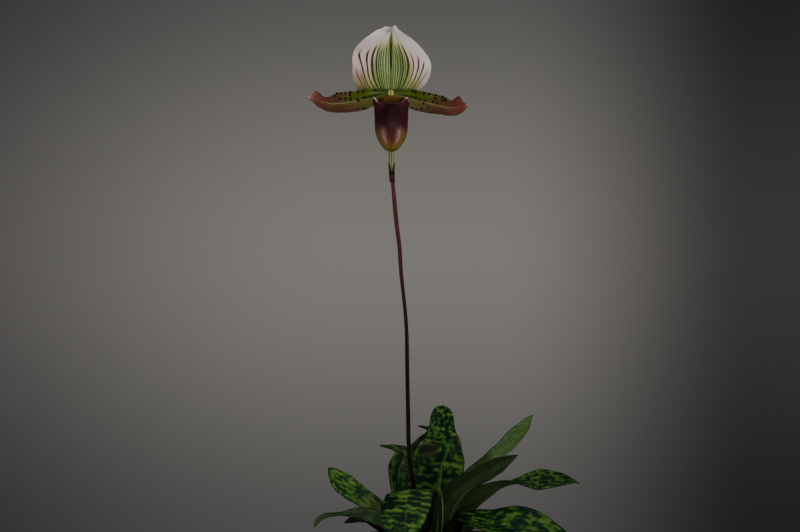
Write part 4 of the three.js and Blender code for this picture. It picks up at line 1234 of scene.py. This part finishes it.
def pot_skin():
    """The pot: dark plastic, faintly grained, dusted all over and most near its foot."""
    f = Finish("pot")
    place = f.place()
    grain = f.noise(place, 3.0, 1400.0)
    dust = f.noise(place, 4.0, 60.0, 0.6)
    marks = f.noise(f.stretched(60, 60, 12), 4.0, 1.0, 0.6)
    f.colour = f.mix(grain, (0.018, 0.018, 0.019), (0.026, 0.026, 0.027))
    f.lay(dust.step(0.52, 0.72) * (0.25 + 0.5 * f.measure("Z").step(0.02, 0.0)), (0.075, 0.068, 0.06))
    f.lay(marks.step(0.6, 0.72) * 0.25, (0.1, 0.095, 0.085))
    return f.surface(0.42 + 0.25 * dust, grain, 0.03)


def floor_skin():
    """The floor: light grey and dull."""
    f = Finish("floor")
    tone = f.noise(f.place(), 3.0, 6.0)
    f.colour = f.mix(tone, (0.52, 0.51, 0.5), (0.56, 0.55, 0.54))
    return f.surface(0.75 + 0.1 * (tone - 0.5))


# ---------------------------------------------------------------- leaves


def leaf(name, plan):
    """One leaf: a folded, waved blade with a sunk midrib above and a keel below."""
    spine = Spine(plan["spine"])
    us = rows_along(96, 1.7)
    ticks = np.linspace(-1, 1, 35)
    vs = np.sign(ticks) * np.abs(ticks) ** 1.15
    phase = plan["look"]["seed"]

    def half(u, v):
        ripple = 1 + 0.012 * math.sin(31 * u + phase) + 0.008 * math.sin(67 * u + 2 * phase)
        return max(0.12, along(plan["outline"], u) * math.sqrt(max(0.0, 1 - u ** LEAF["round"])) * ripple)

    def lift(u, v):
        slow = LEAF["wave"] * u * np.sin(2 * math.pi * LEAF["waves"] * u + 1.7 * (v > 0))
        fine = 0.22 * u * np.sin(2 * math.pi * 7.3 * u + phase + 2.1 * (v > 0))
        wide = np.abs(v) * half(u, v)
        trough = -0.35 * np.exp(-((wide / 0.9) ** 2)) * min(1.0, 4 * (1 - u))
        pleats = 0.1 * np.sin(wide * 2 * math.pi / 3.2) * (1 - np.abs(v))
        curl = -0.5 * np.maximum(0, np.abs(v) - 0.86) ** 2 * 40 * min(1.0, 6 * (1 - u))
        return v * v * slow + np.abs(v) ** 3 * fine + trough + pleats + 0.35 * curl

    grid = swept(spine, plan["faces"], half, plan["fold"], lift, us, vs)
    grid = grid + normals(grid) * LEAF["thickness"] / 2
    most = LEAF["thickness"] + LEAF["keel"]
    keel = np.maximum(0, 1 - 3.2 * np.abs(vs)) ** 1.3 * LEAF["keel"]
    plain = LEAF["thickness"] + (LEAF["margin"] - LEAF["thickness"]) * smoothstep(np.abs(vs), 0.8, 1)
    finishes = [
        leaf_face(name + " face", spine.length, plan["look"]),
        leaf_back(name + " back", spine.length, plan["look"]),
    ]
    shares = thin_tipped(us, (keel + plain) / most)
    piece = make_blade(name + "_blade", grid, us, vs, most, shares, *finishes)
    stand_for(piece, name)


# ---------------------------------------------------------------- bloom


def dorsal_sepal():
    """The hooded upper sepal, pinched towards its notched tip."""
    us = rows_along(84, 1.3)
    vs = np.linspace(-1, 1, 97)

    def half(u, v):
        return np.where(v > 0, along(DORSAL["right"], u), along(DORSAL["left"], u))

    def lift(u, v):
        cup = 2.4 * v * v * math.sin(math.pi * u)
        rolled = 3.2 * v**4 * (1 - u) ** 2
        pinch = 3.4 * np.minimum(1, 2.4 * np.abs(v)) * max(0.0, u - 0.35) ** 1.5
        ribs = 0.1 * np.cos(v * half(u, v) * 2 * math.pi / 1.6) * (1 - np.abs(v)) * (1 - u)
        ruffle = 0.25 * np.abs(v) ** 4 * np.sin(19 * u + 2 * (v > 0))
        return cup - rolled + pinch + ribs + ruffle

    faces = [(0, -1, 0), (0, -1, 0.05), (0, -0.9, 0.4)]
    grid = swept(Spine(DORSAL["spine"], BLOOM), faces, half, [0, 0, 0], lift, us, vs)
    # The left half of its tip lies lower than the right.
    grid[:, :, 2] -= np.outer(smoothstep(us, 0.8, 1), 1.4 - 1.7 * smoothstep(vs, -0.1, 0.9))
    grid = grid + normals(grid) * DORSAL["thickness"] / 2
    shares = thin_tipped(us, thin_edged(vs, 0.6, 0.8))
    finishes = sepal_face(), SEPAL_BACK
    piece = make_blade("dorsal_sepal_blade", grid, us, vs, DORSAL["thickness"], shares, *finishes)
    stand_for(piece, "dorsal_sepal")


def synsepal():
    """The two lower sepals, grown into one behind the pouch."""
    us = rows_along(48, 1.4)
    vs = np.linspace(-1, 1, 37)

    def half(u, v):
        return along(SYNSEPAL["outline"], u)

    def lift(u, v):
        return 0.1 * np.cos(v * half(u, v) * 2 * math.pi / 1.8) * (1 - np.abs(v))

    faces = [(0, -1, 0), (0, -1, 0)]
    grid = swept(Spine(SYNSEPAL["spine"], BLOOM), faces, half, [10, 16, 16, 8], lift, us, vs)
    grid = grid + normals(grid) * SYNSEPAL["thickness"] / 2
    shares = np.outer(np.ones(len(us)), thin_edged(vs, 0.6, 0.75))
    piece = make_blade("synsepal_blade", grid, us, vs, SYNSEPAL["thickness"], shares, SEPAL_BACK, SEPAL_BACK)
    stand_for(piece, "synsepal")


def wart_template():
    """One wart, a low dome a metre in radius until it is stamped."""
    wart = fresh(bpy.ops.mesh.primitive_ico_sphere_add, subdivisions=2, radius=1)
    for vertex in wart.data.vertices:
        vertex.co.z *= 0.72
    return wart


def petal(side):
    """One petal, with warts on its face and hairs on its edges."""
    plan = PETALS[side]
    up = 1 if side == "left" else -1
    us = rows_along(120, 1.3)
    vs = np.linspace(-1, 1, 41)
    spine = Spine(plan["spine"], BLOOM)
    faces = [(0, -0.9, 0.45), (0, -0.95, 0.3), (0, -0.9, 0.4), (0.4 * up, -0.8, 0.35)]

    def half(u, v):
        return np.where(v * up >= 0, along(plan["upper"], u), along(plan["lower"], u))

    def lift(u, v):
        slow = 0.7 * v * v * np.sin(9 * u + 2 * (v * up <= 0))
        crimp = 0.16 * np.abs(v) ** 3 * np.sin(58 * u + v)
        ribs = 0.07 * np.cos(v * half(u, v) * 2 * math.pi / 1.3)
        beside = (v * up + 0.03) * half(u, v)
        rib = 0.3 * np.exp(-((beside / 0.7) ** 2)) * math.sin(math.pi * min(1, u + 0.1))
        return slow + crimp + ribs + rib

    grid = swept(spine, faces, half, [26, 26, 20, 14, 18], lift, us, vs)
    skin = normals(grid)
    grid = grid + skin * PETAL_THICKNESS / 2
    shares = thin_tipped(us, thin_edged(vs, 0.55, 0.8))
    finishes = petal_face(side), PETAL_BACK
    piece = make_blade(f"petal_{side}_blade", grid, us, vs * up, PETAL_THICKNESS, shares, *finishes)

    def on_skin(u, v):
        i = int(np.argmin(np.abs(us - u)))
        j = int(np.argmin(np.abs(vs * up - v)))
        return grid[i, j], skin[i, j]

    random_ = random.Random(plan["seed"])
    transforms = []
    for u, v in plan["warts"]:
        place, out = on_skin(u, v)
        turn = Vector(out).to_track_quat("Z", "Y").to_matrix().to_4x4()
        sizes = [random_.uniform(*WART["radius"]) * MM for _ in range(2)]
        scale = Matrix.Diagonal((*sizes, WART["height"] * MM, 1))
        transforms.append(Matrix.Translation(Vector(place + WART["raised"] * out) * MM) @ turn @ scale)
    template = wart_template()
    warts = stamped("warts", template, transforms)
    bpy.data.objects.remove(template)
    wear(warts, WART_SKIN)
    smooth(warts, 180)

    edge_hairs = []
    for k in range(CILIA["count"]):
        u = CILIA["start"] + CILIA["over"] * k / CILIA["count"] + random_.uniform(-0.002, 0.002)
        margin = 1 if k % 3 else -1  # two on the upper edge for each on the lower
        place, out = on_skin(u, margin)
        inner, _ = on_skin(u, margin * 0.8)
        away = unit(place - inner)
        edge_hairs.append((place - 0.25 * out - 0.2 * away, away + 0.5 * out))
    cilia = haired("cilia", edge_hairs, CILIA["length"], CILIA["thickness"], CILIA["seed"])
    wear(cilia, DARK_HAIR)
    join(piece, warts, cilia)
    stand_for(piece, f"petal_{side}")


def lip_ring(s, turns, inset):
    """The lip's skin at a share s of the way up from its toe, at turns from its front."""
    rings = [(0, 0, 0, LIP["rings"][0][3]), *LIP["rings"]]
    rise, half_wide, half_deep, ahead = (along(measures, (9 * s + 1) / 10) for measures in zip(*rings))
    at = np.where(turns < 0, LIP["ears"]["left"], LIP["ears"]["right"])
    ear = np.exp(-(((np.abs(turns) - at) / LIP["ears"]["spread"]) ** 2))
    back = smoothstep(np.abs(turns), 1.2, 2.1)
    mouth = smoothstep(s, 0.55, 1)
    height = rise + mouth * (LIP["ear_rise"] * ear + LIP["back_rise"] * back)
    lips = inset * (1 - smoothstep(s, 0, 0.4))
    wide, deep = np.maximum(0, half_wide - inset), np.maximum(0, half_deep - inset)
    x = BLOOM[0] + LIP["aside"] + wide * np.sin(turns)
    y = BLOOM[1] - ahead - deep * np.cos(turns)
    z = BLOOM[2] + LIP["toe"] + height + lips
    return np.stack([x, y, z], axis=1)


def lip():
    """The pouch: up its outside from the toe, over its rim, and down its inside."""
    turns = np.linspace(-math.pi, math.pi, 97)
    wall = LIP["wall"]
    infold = 2.6 * np.exp(-(((np.abs(turns) - 1.95) / 0.55) ** 2))
    rows = []
    marks = []
    toe = -1 / 9  # the share that lip_ring reads as the very toe, since its lowest ring is at 0
    for s in np.linspace(toe, 1, 60):
        rows.append(lip_ring(s, turns, 0.0))
        marks.append(max(0.0, s))
    for arc in np.linspace(0, math.pi, 7)[1:-1]:
        inset = wall / 2 * (1 - math.cos(arc)) * (1 + infold * 0.35)
        ring = lip_ring(1, turns, inset)
        ring[:, 2] += wall / 2 * math.sin(arc)
        rows.append(ring)
        marks.append(1 + 0.02 * arc)
    for s in np.linspace(1, toe + 0.07, 52):
        inset = wall + infold * smoothstep(s, 0.72, 1.0)
        rows.append(lip_ring(s, turns, inset))
        marks.append(2.1 - s)
    grid = np.array(rows)
    grid[0] = grid[0].mean(axis=0)
    grid[-1] = grid[-1].mean(axis=0)
    piece = laid("lip_pouch_shell", grid, np.array(marks), turns / (2 * math.pi))
    swap_uv(piece)
    wear(piece, lip_skin(), lip_lining())
    uv = piece.data.uv_layers["blade"].data
    for face in piece.data.polygons:
        inside = min(uv[k].uv.y for k in face.loop_indices) > 1.03  # past the middle of the rim
        face.material_index = 1 if inside else 0
    edit(piece, merge_doubles, face_outwards)
    smooth(piece, TUBE_ANGLE)
    stand_for(piece, "lip_pouch")


def column():
    """The column under its shield, the staminode."""
    rod = stalk("column_body", Spine(COLUMN["spine"], BLOOM), COLUMN["radius"], 32, 24)
    wear(rod, column_skin())
    at, half = COLUMN["shield"]["at"], COLUMN["shield"]["half"]
    shares = np.linspace(0, 1, 25)
    turns = np.linspace(0, 2 * math.pi, 49)
    rows = []
    for share in shares:
        tilt = math.pi * share
        across, up = math.sin(tilt) * np.cos(turns), math.sin(tilt) * np.sin(turns)
        # A shield: notched above, with three small teeth below and a shallow trough down its front.
        rim = 1 - 0.1 * np.exp(-((across / 0.22) ** 2)) * (up > 0)
        rim = rim + 0.07 * np.cos(across * 3 * math.pi) * (up < -0.4)
        front = -math.cos(tilt)
        trough = 0.3 * np.exp(-((across / 0.25) ** 2)) * (front < 0)
        x = BLOOM[0] + at[0] + half[0] * across
        z = BLOOM[2] + at[2] + half[2] * up * rim
        y = BLOOM[1] + at[1] + half[1] * (front + trough) - 0.5 * up
        rows.append(np.stack([x, y, z], axis=1))
    shield = laid("staminode", np.array(rows), shares, turns)
    layer = shield.data.uv_layers["blade"]
    for loop, data in zip(shield.data.loops, layer.data):
        co = shield.data.vertices[loop.vertex_index].co / MM
        data.uv = ((co.x - BLOOM[0] - at[0]) / half[0], (co.z - BLOOM[2] - at[2]) / half[2])
    edit(shield, merge_doubles, face_outwards)
    smooth(shield, TUBE_ANGLE)
    wear(shield, staminode_skin())
    join(rod, shield)
    stand_for(rod, "column")


def stalk_roots(spine, radius, count, seed, low, high):
    """Random places over a stalk, each with the way out from it."""
    random_ = random.Random(seed)
    roots = []
    for _ in range(count):
        u, turn = random_.uniform(low, high), random_.uniform(0, 2 * math.pi)
        place, ahead = spine.at(u)
        side = unit(np.array([1.0, 0, 0]) - ahead[0] * ahead)
        out = side * math.cos(turn) + np.cross(ahead, side) * math.sin(turn)
        roots.append((place + out * along(radius, u) * 0.95, out + 0.35 * ahead))
    return roots


def downy_stalk(node, body_name, down_name, plan, skin, colour):
    """A stalk with short hairs all over it."""
    spine, down = Spine(plan["spine"]), plan["down"]
    body = stalk(body_name, spine, plan["radius"], plan["sides"], plan["rings"], plan["ribs"])
    wear(body, skin)
    roots = stalk_roots(spine, plan["radius"], down["count"], down["seed"], *down["span"])
    hairs = haired(down_name, roots, down["length"], down["thickness"], down["seed"] + 1)
    wear(hairs, hair_skin(down_name.replace("_", " "), colour))
    join(body, hairs)
    stand_for(body, node)


def bract():
    """The sheath, wrapped round the stalk at its foot and open at its tip."""
    spine = Spine(BRACT["spine"])
    us = np.linspace(0, 1, 41)
    vs = np.linspace(-1, 1, 41)
    rows = []
    for u in us:
        centre, _ = spine.at(u)
        turn = np.radians(along(BRACT["wrap"], u)) * vs
        r = along(BRACT["radius"], u) + 0.12 * np.abs(vs) ** 3 + 0.04 * np.cos(turn * 9)
        rows.append(centre + np.stack([r * np.sin(turn), r * np.cos(turn), 0 * turn], axis=1))
    shares = np.outer(np.ones(len(us)), thin_edged(vs, 0.5, 0.7))
    skin = bract_skin()
    piece = make_blade("bract_sheath", np.array(rows), us, vs, BRACT["thickness"], shares, skin, skin)
    stand_for(piece, "bract")


# ---------------------------------------------------------------- crown, bark and pot


def crown():
    """The two leafy bases on their rhizome, with sheath rings and a few roots into the bark."""
    parts = []
    for k, ((x, y), radius, rise) in enumerate(GROWTHS):
        foot = BARK_LEVEL - RHIZOME_DEPTH
        turns = np.linspace(0, 2 * math.pi, 49)
        dome = [(0.9, 0.25), (0.83, 0.5), (0.66, 0.75), (0.5, 0.88), (0.25, 0.97), (0, 1)]
        profile = [(0, 0), (0.8, 0), (0.95, 2), (1, 4), (1, 8), (0.98, SHEATH)]
        profile += [(wide, SHEATH + rise * share) for wide, share in dome]
        rows = []
        marks = []
        for low, high in zip(profile, profile[1:]):
            for step in np.linspace(0, 1, 5)[:-1]:
                wide, up = (a + (b - a) * step for a, b in zip(low, high))
                ridge = 1 + 0.035 * np.sin(9 * turns + 2 * up + k) + 0.02 * math.sin(3.1 * up)
                r = radius * wide * ridge
                ring = [x + r * np.cos(turns), y + r * np.sin(turns), foot + up + 0 * turns]
                rows.append(np.stack(ring, axis=1))
                marks.append(up / (SHEATH + rise))
        rows.append(np.array([[x, y, foot + SHEATH + rise]] * len(turns)))
        marks.append(1.0)
        parts.append(closed_tube("crown", np.array(rows), np.array(marks), turns))
    random_ = random.Random(ROOTS["seed"])
    roots = []
    for k in range(ROOTS["count"]):
        (x, y), radius, _ = GROWTHS[k % 2]
        turn = 2.4 * k
        out = np.array([math.cos(turn), math.sin(turn), 0])
        start = np.array([x, y, BARK_LEVEL + 1.5]) + out * radius * 0.8
        far = out * random_.uniform(7, 12)
        bends = [(0, 0), (0.45, 2.2), (1, 0.4), (1.25, -5)]
        points = [start + share * far + (0, 0, up) for share, up in bends]
        bumps = random_.uniform(0, 6)
        roots.append(stalk(
            "root", Spine(points), ROOTS["radius"], 12, 24,
            knots=lambda u, turns, bumps=bumps: 0.08 * np.sin(16 * u + 2 * turns + bumps),
        ))
    for part in parts:
        wear(part, CROWN_SKIN)
    for root in roots:
        wear(root, ROOT_SKIN)
    join(parts[0], *parts[1:], *roots)
    parts[0].name = "crown"
    stand_for(parts[0], "rhizome")


def chip_template(seed):
    """One chip of bark, a metre each way until it is stamped."""
    random_ = random.Random(seed)
    chip = fresh(bpy.ops.mesh.primitive_cube_add, size=1)
    edit(chip, lambda: bpy.ops.mesh.subdivide(number_cuts=2))
    for vertex in chip.data.vertices:
        x, y, z = vertex.co
        split = 0.1 * math.sin(11 * y + seed) * (abs(x) > 0.3)
        vertex.co = (
            x * (1 - 0.25 * y * y) + split * x + random_.uniform(-0.06, 0.06),
            y * (1 - 0.2 * z * z) + random_.uniform(-0.06, 0.06),
            z * (1 - 0.45 * (x * x + y * y)) + random_.uniform(-0.09, 0.09),
        )
    return chip


def bark():
    """The bark filling: a plug that clears the pot, under three loose layers of chips."""
    clear = POT["wall"] + 0.6
    slope = (POT["shoulder_radius"] - POT["base_radius"]) / (POT["height"] - POT["rim_band"])
    low = POT["floor"] + 0.3
    top = BARK_LEVEL - 4
    top_radius = POT["base_radius"] - clear + slope * (top + 1 - POT["floor"])
    foot_radius = POT["base_radius"] - clear + slope * (low - POT["floor"])
    plug = fresh(
        bpy.ops.mesh.primitive_cone_add, vertices=72, radius1=foot_radius * MM, radius2=top_radius * MM,
        depth=(top - low) * MM, location=(0, 0, (low + (top - low) / 2) * MM),
    )
    plug.name = "bark_filling"
    bpy.ops.object.transform_apply(location=True, rotation=False, scale=False)
    modify(plug, "BEVEL", width=1.2 * MM, segments=2)
    random_ = random.Random(CHIP_SEED)
    golden = math.pi * (3 - math.sqrt(5))
    templates = [chip_template(seed) for seed in range(CHIP_KINDS)]
    placed = [[] for _ in templates]
    for layer, (count, rise, size, inset) in enumerate(CHIP_LAYERS):
        for k in range(count):
            out = (top_radius - inset) * math.sqrt((k + 0.5) / count)
            turn = golden * k + 1.3 * layer
            up = top + rise + random_.uniform(-0.6, 1.2)
            place = Vector((out * math.cos(turn), out * math.sin(turn), up))
            sizes = [size * random_.uniform(*span) for span in CHIP_SIZES]
            pitch, roll = (Matrix.Rotation(random_.uniform(-0.4, 0.4), 4, axis) for axis in "XY")
            spin = Matrix.Rotation(random_.uniform(0, 2 * math.pi), 4, "Z")
            scale = Matrix.Diagonal((*[s * MM for s in sizes], 1))
            transform = Matrix.Translation(place * MM) @ spin @ (pitch @ roll) @ scale
            placed[(k + layer) % len(templates)].append(transform)
    chips = [stamped("chips", template, transforms) for template, transforms in zip(templates, placed)]
    for template in templates:
        bpy.data.objects.remove(template)
    skin = bark_skin()
    for piece in (plug, *chips):
        wear(piece, skin)
        smooth(piece, 32)
    join(plug, *chips)
    stand_for(plug, "bark")


def pot():
    """The pot: a turned wall with a banded rim and eight round drains in its floor."""
    height, band, wall, floor = (POT[k] for k in ("height", "rim_band", "wall", "floor"))
    base, shoulder, rim = (POT[k + "_radius"] for k in ("base", "shoulder", "rim"))
    profile = [
        (0, 0.8), (base - 7, 0.8), (base - 6, 0), (base - 1.5, 0), (base - 0.45, 0.45), (base, 1.5),
        (shoulder, height - band), (rim - 1, height - band), (rim - 0.3, height - band + 0.35),
        (rim, height - band + 1.2), (rim, height - 1.2), (rim - 0.3, height - 0.35), (rim - 1, height),
        (rim - 2.2, height), (rim - 2.6, height - 0.3), (shoulder + 0.6, height - 2.4),
        (shoulder - wall, height - band), (base - wall, floor + 1), (base - wall - 1, floor), (0, floor),
    ]
    points = [(r * MM, 0, z * MM) for r, z in profile]
    body = from_lists("pot_body", points, [(k, k + 1) for k in range(len(points) - 1)], [])
    edit(
        body,
        lambda: bpy.ops.mesh.spin(steps=96, angle=2 * math.pi, center=(0, 0, 0), axis=(0, 0, 1)),
        lambda: bpy.ops.mesh.select_all(action="SELECT"),
        merge_doubles,
        face_outwards,
    )
    drains = POT["drains"]
    for k in range(drains["count"]):
        turn = 2 * math.pi * (k + 0.5) / drains["count"]
        drill = fresh(
            bpy.ops.mesh.primitive_cylinder_add, vertices=32, radius=drains["radius"] * MM, depth=12 * MM,
            location=(drains["circle"] * math.cos(turn) * MM, drains["circle"] * math.sin(turn) * MM, 0),
        )
        modify(body, "BOOLEAN", operation="DIFFERENCE", object=drill, solver="EXACT")
        bpy.data.objects.remove(drill)
    modify(body, "BEVEL", width=0.25 * MM, segments=2, limit_method="ANGLE", angle_limit=math.radians(35))
    smooth(body, 30)
    wear(body, pot_skin())
    stand_for(body, "pot")


# ---------------------------------------------------------------- the whole plant

SEPAL_BACK = sepal_back()
PETAL_BACK = petal_back()
WART_SKIN = wart_skin()
DARK_HAIR = hair_skin("petal hairs", (0.05, 0.018, 0.02))
CROWN_SKIN = crown_skin()
ROOT_SKIN = root_skin()

for leaf_name, leaf_plan in LEAVES.items():
    leaf(leaf_name, leaf_plan)
dorsal_sepal()
synsepal()
petal("left")
petal("right")
lip()
column()
downy_stalk("ovary", "ovary_body", "ovary_hairs", OVARY, ovary_skin(), (0.36, 0.28, 0.17))
bract()
downy_stalk("scape", "scape_stem", "stem_hairs", SCAPE, scape_skin(), (0.16, 0.07, 0.055))
crown()
bark()
pot()

# ---------------------------------------------------------------- floor, light and camera

floor = fresh(bpy.ops.mesh.primitive_circle_add, vertices=128, radius=0.55, fill_type="NGON")
floor.name = "floor"
wear(floor, floor_skin())

AIM = Vector((BLOOM[0], 0, 300)) * MM  # what the lights point at


def softbox(name, azimuth, distance, height, size, power):
    """A rectangular light that looks at the plant: azimuth in degrees to the viewer's right of its front."""
    light = bpy.data.lights.new(name, "AREA")
    light.shape = "RECTANGLE"
    light.size, light.size_y = size
    light.energy = power
    lamp = bpy.data.objects.new(name, light)
    turn = math.radians(azimuth)
    lamp.location = (distance * math.sin(turn), -distance * math.cos(turn), height)
    lamp.rotation_euler = (AIM - lamp.location).to_track_quat("-Z", "Y").to_euler()
    lamp.visible_camera = False
    bpy.context.collection.objects.link(lamp)


softbox("strip right", 47, 0.6, 0.24, (0.11, 0.44), 1.1)
softbox("strip left", -50, 0.6, 0.2, (0.1, 0.36), 0.75)
softbox("front", 12, 0.4, 0.86, (0.45, 0.35), 2.3)
softbox("top", -30, 0.25, 1.35, (0.7, 0.5), 2.0)
softbox("rear", 165, 0.9, 1.3, (0.8, 0.8), 1.2)

# The backdrop: lighter in a band behind the plant, and darker away to its left and right.
world = bpy.data.worlds.new("studio")
world.use_nodes = True
bpy.context.scene.world = world
studio = Finish("studio", world.node_tree)
ahead = studio.node("SeparateXYZ", None, {0: studio.place("Generated")})
level = ahead.out("Z")
glow = 1 - abs(level - 0.01).step(0.0, 0.17)
backdrop = studio.mix(glow, (0.08, 0.078, 0.076), (0.2, 0.19, 0.172))
right = ahead.step(0.05, 0.185) * ahead.step(0.6, 0.3)
left = ahead.step(-0.03, -0.3) * ahead.step(-0.6, -0.35)
falloff = studio.mix(right, (1.0, 1.0, 1.0), (0.22, 0.22, 0.24))
falloff = studio.mix(left, falloff, (0.3, 0.3, 0.33))
backdrop = studio.node("VectorMath", {"operation": "MULTIPLY"}, {0: backdrop, 1: falloff})
light = studio.node("Background", None, {"Color": backdrop})
studio.node("OutputWorld", None, {"Surface": light})

camera_data = bpy.data.cameras.new("camera")
camera_data.lens = 85
camera_data.sensor_width = 36
camera = bpy.data.objects.new("camera", camera_data)
camera.location = (-0.0195, -1.228, 0.2659)
camera.rotation_euler = (math.radians(90), 0, 0)  # level
bpy.context.collection.objects.link(camera)
bpy.context.scene.camera = camera
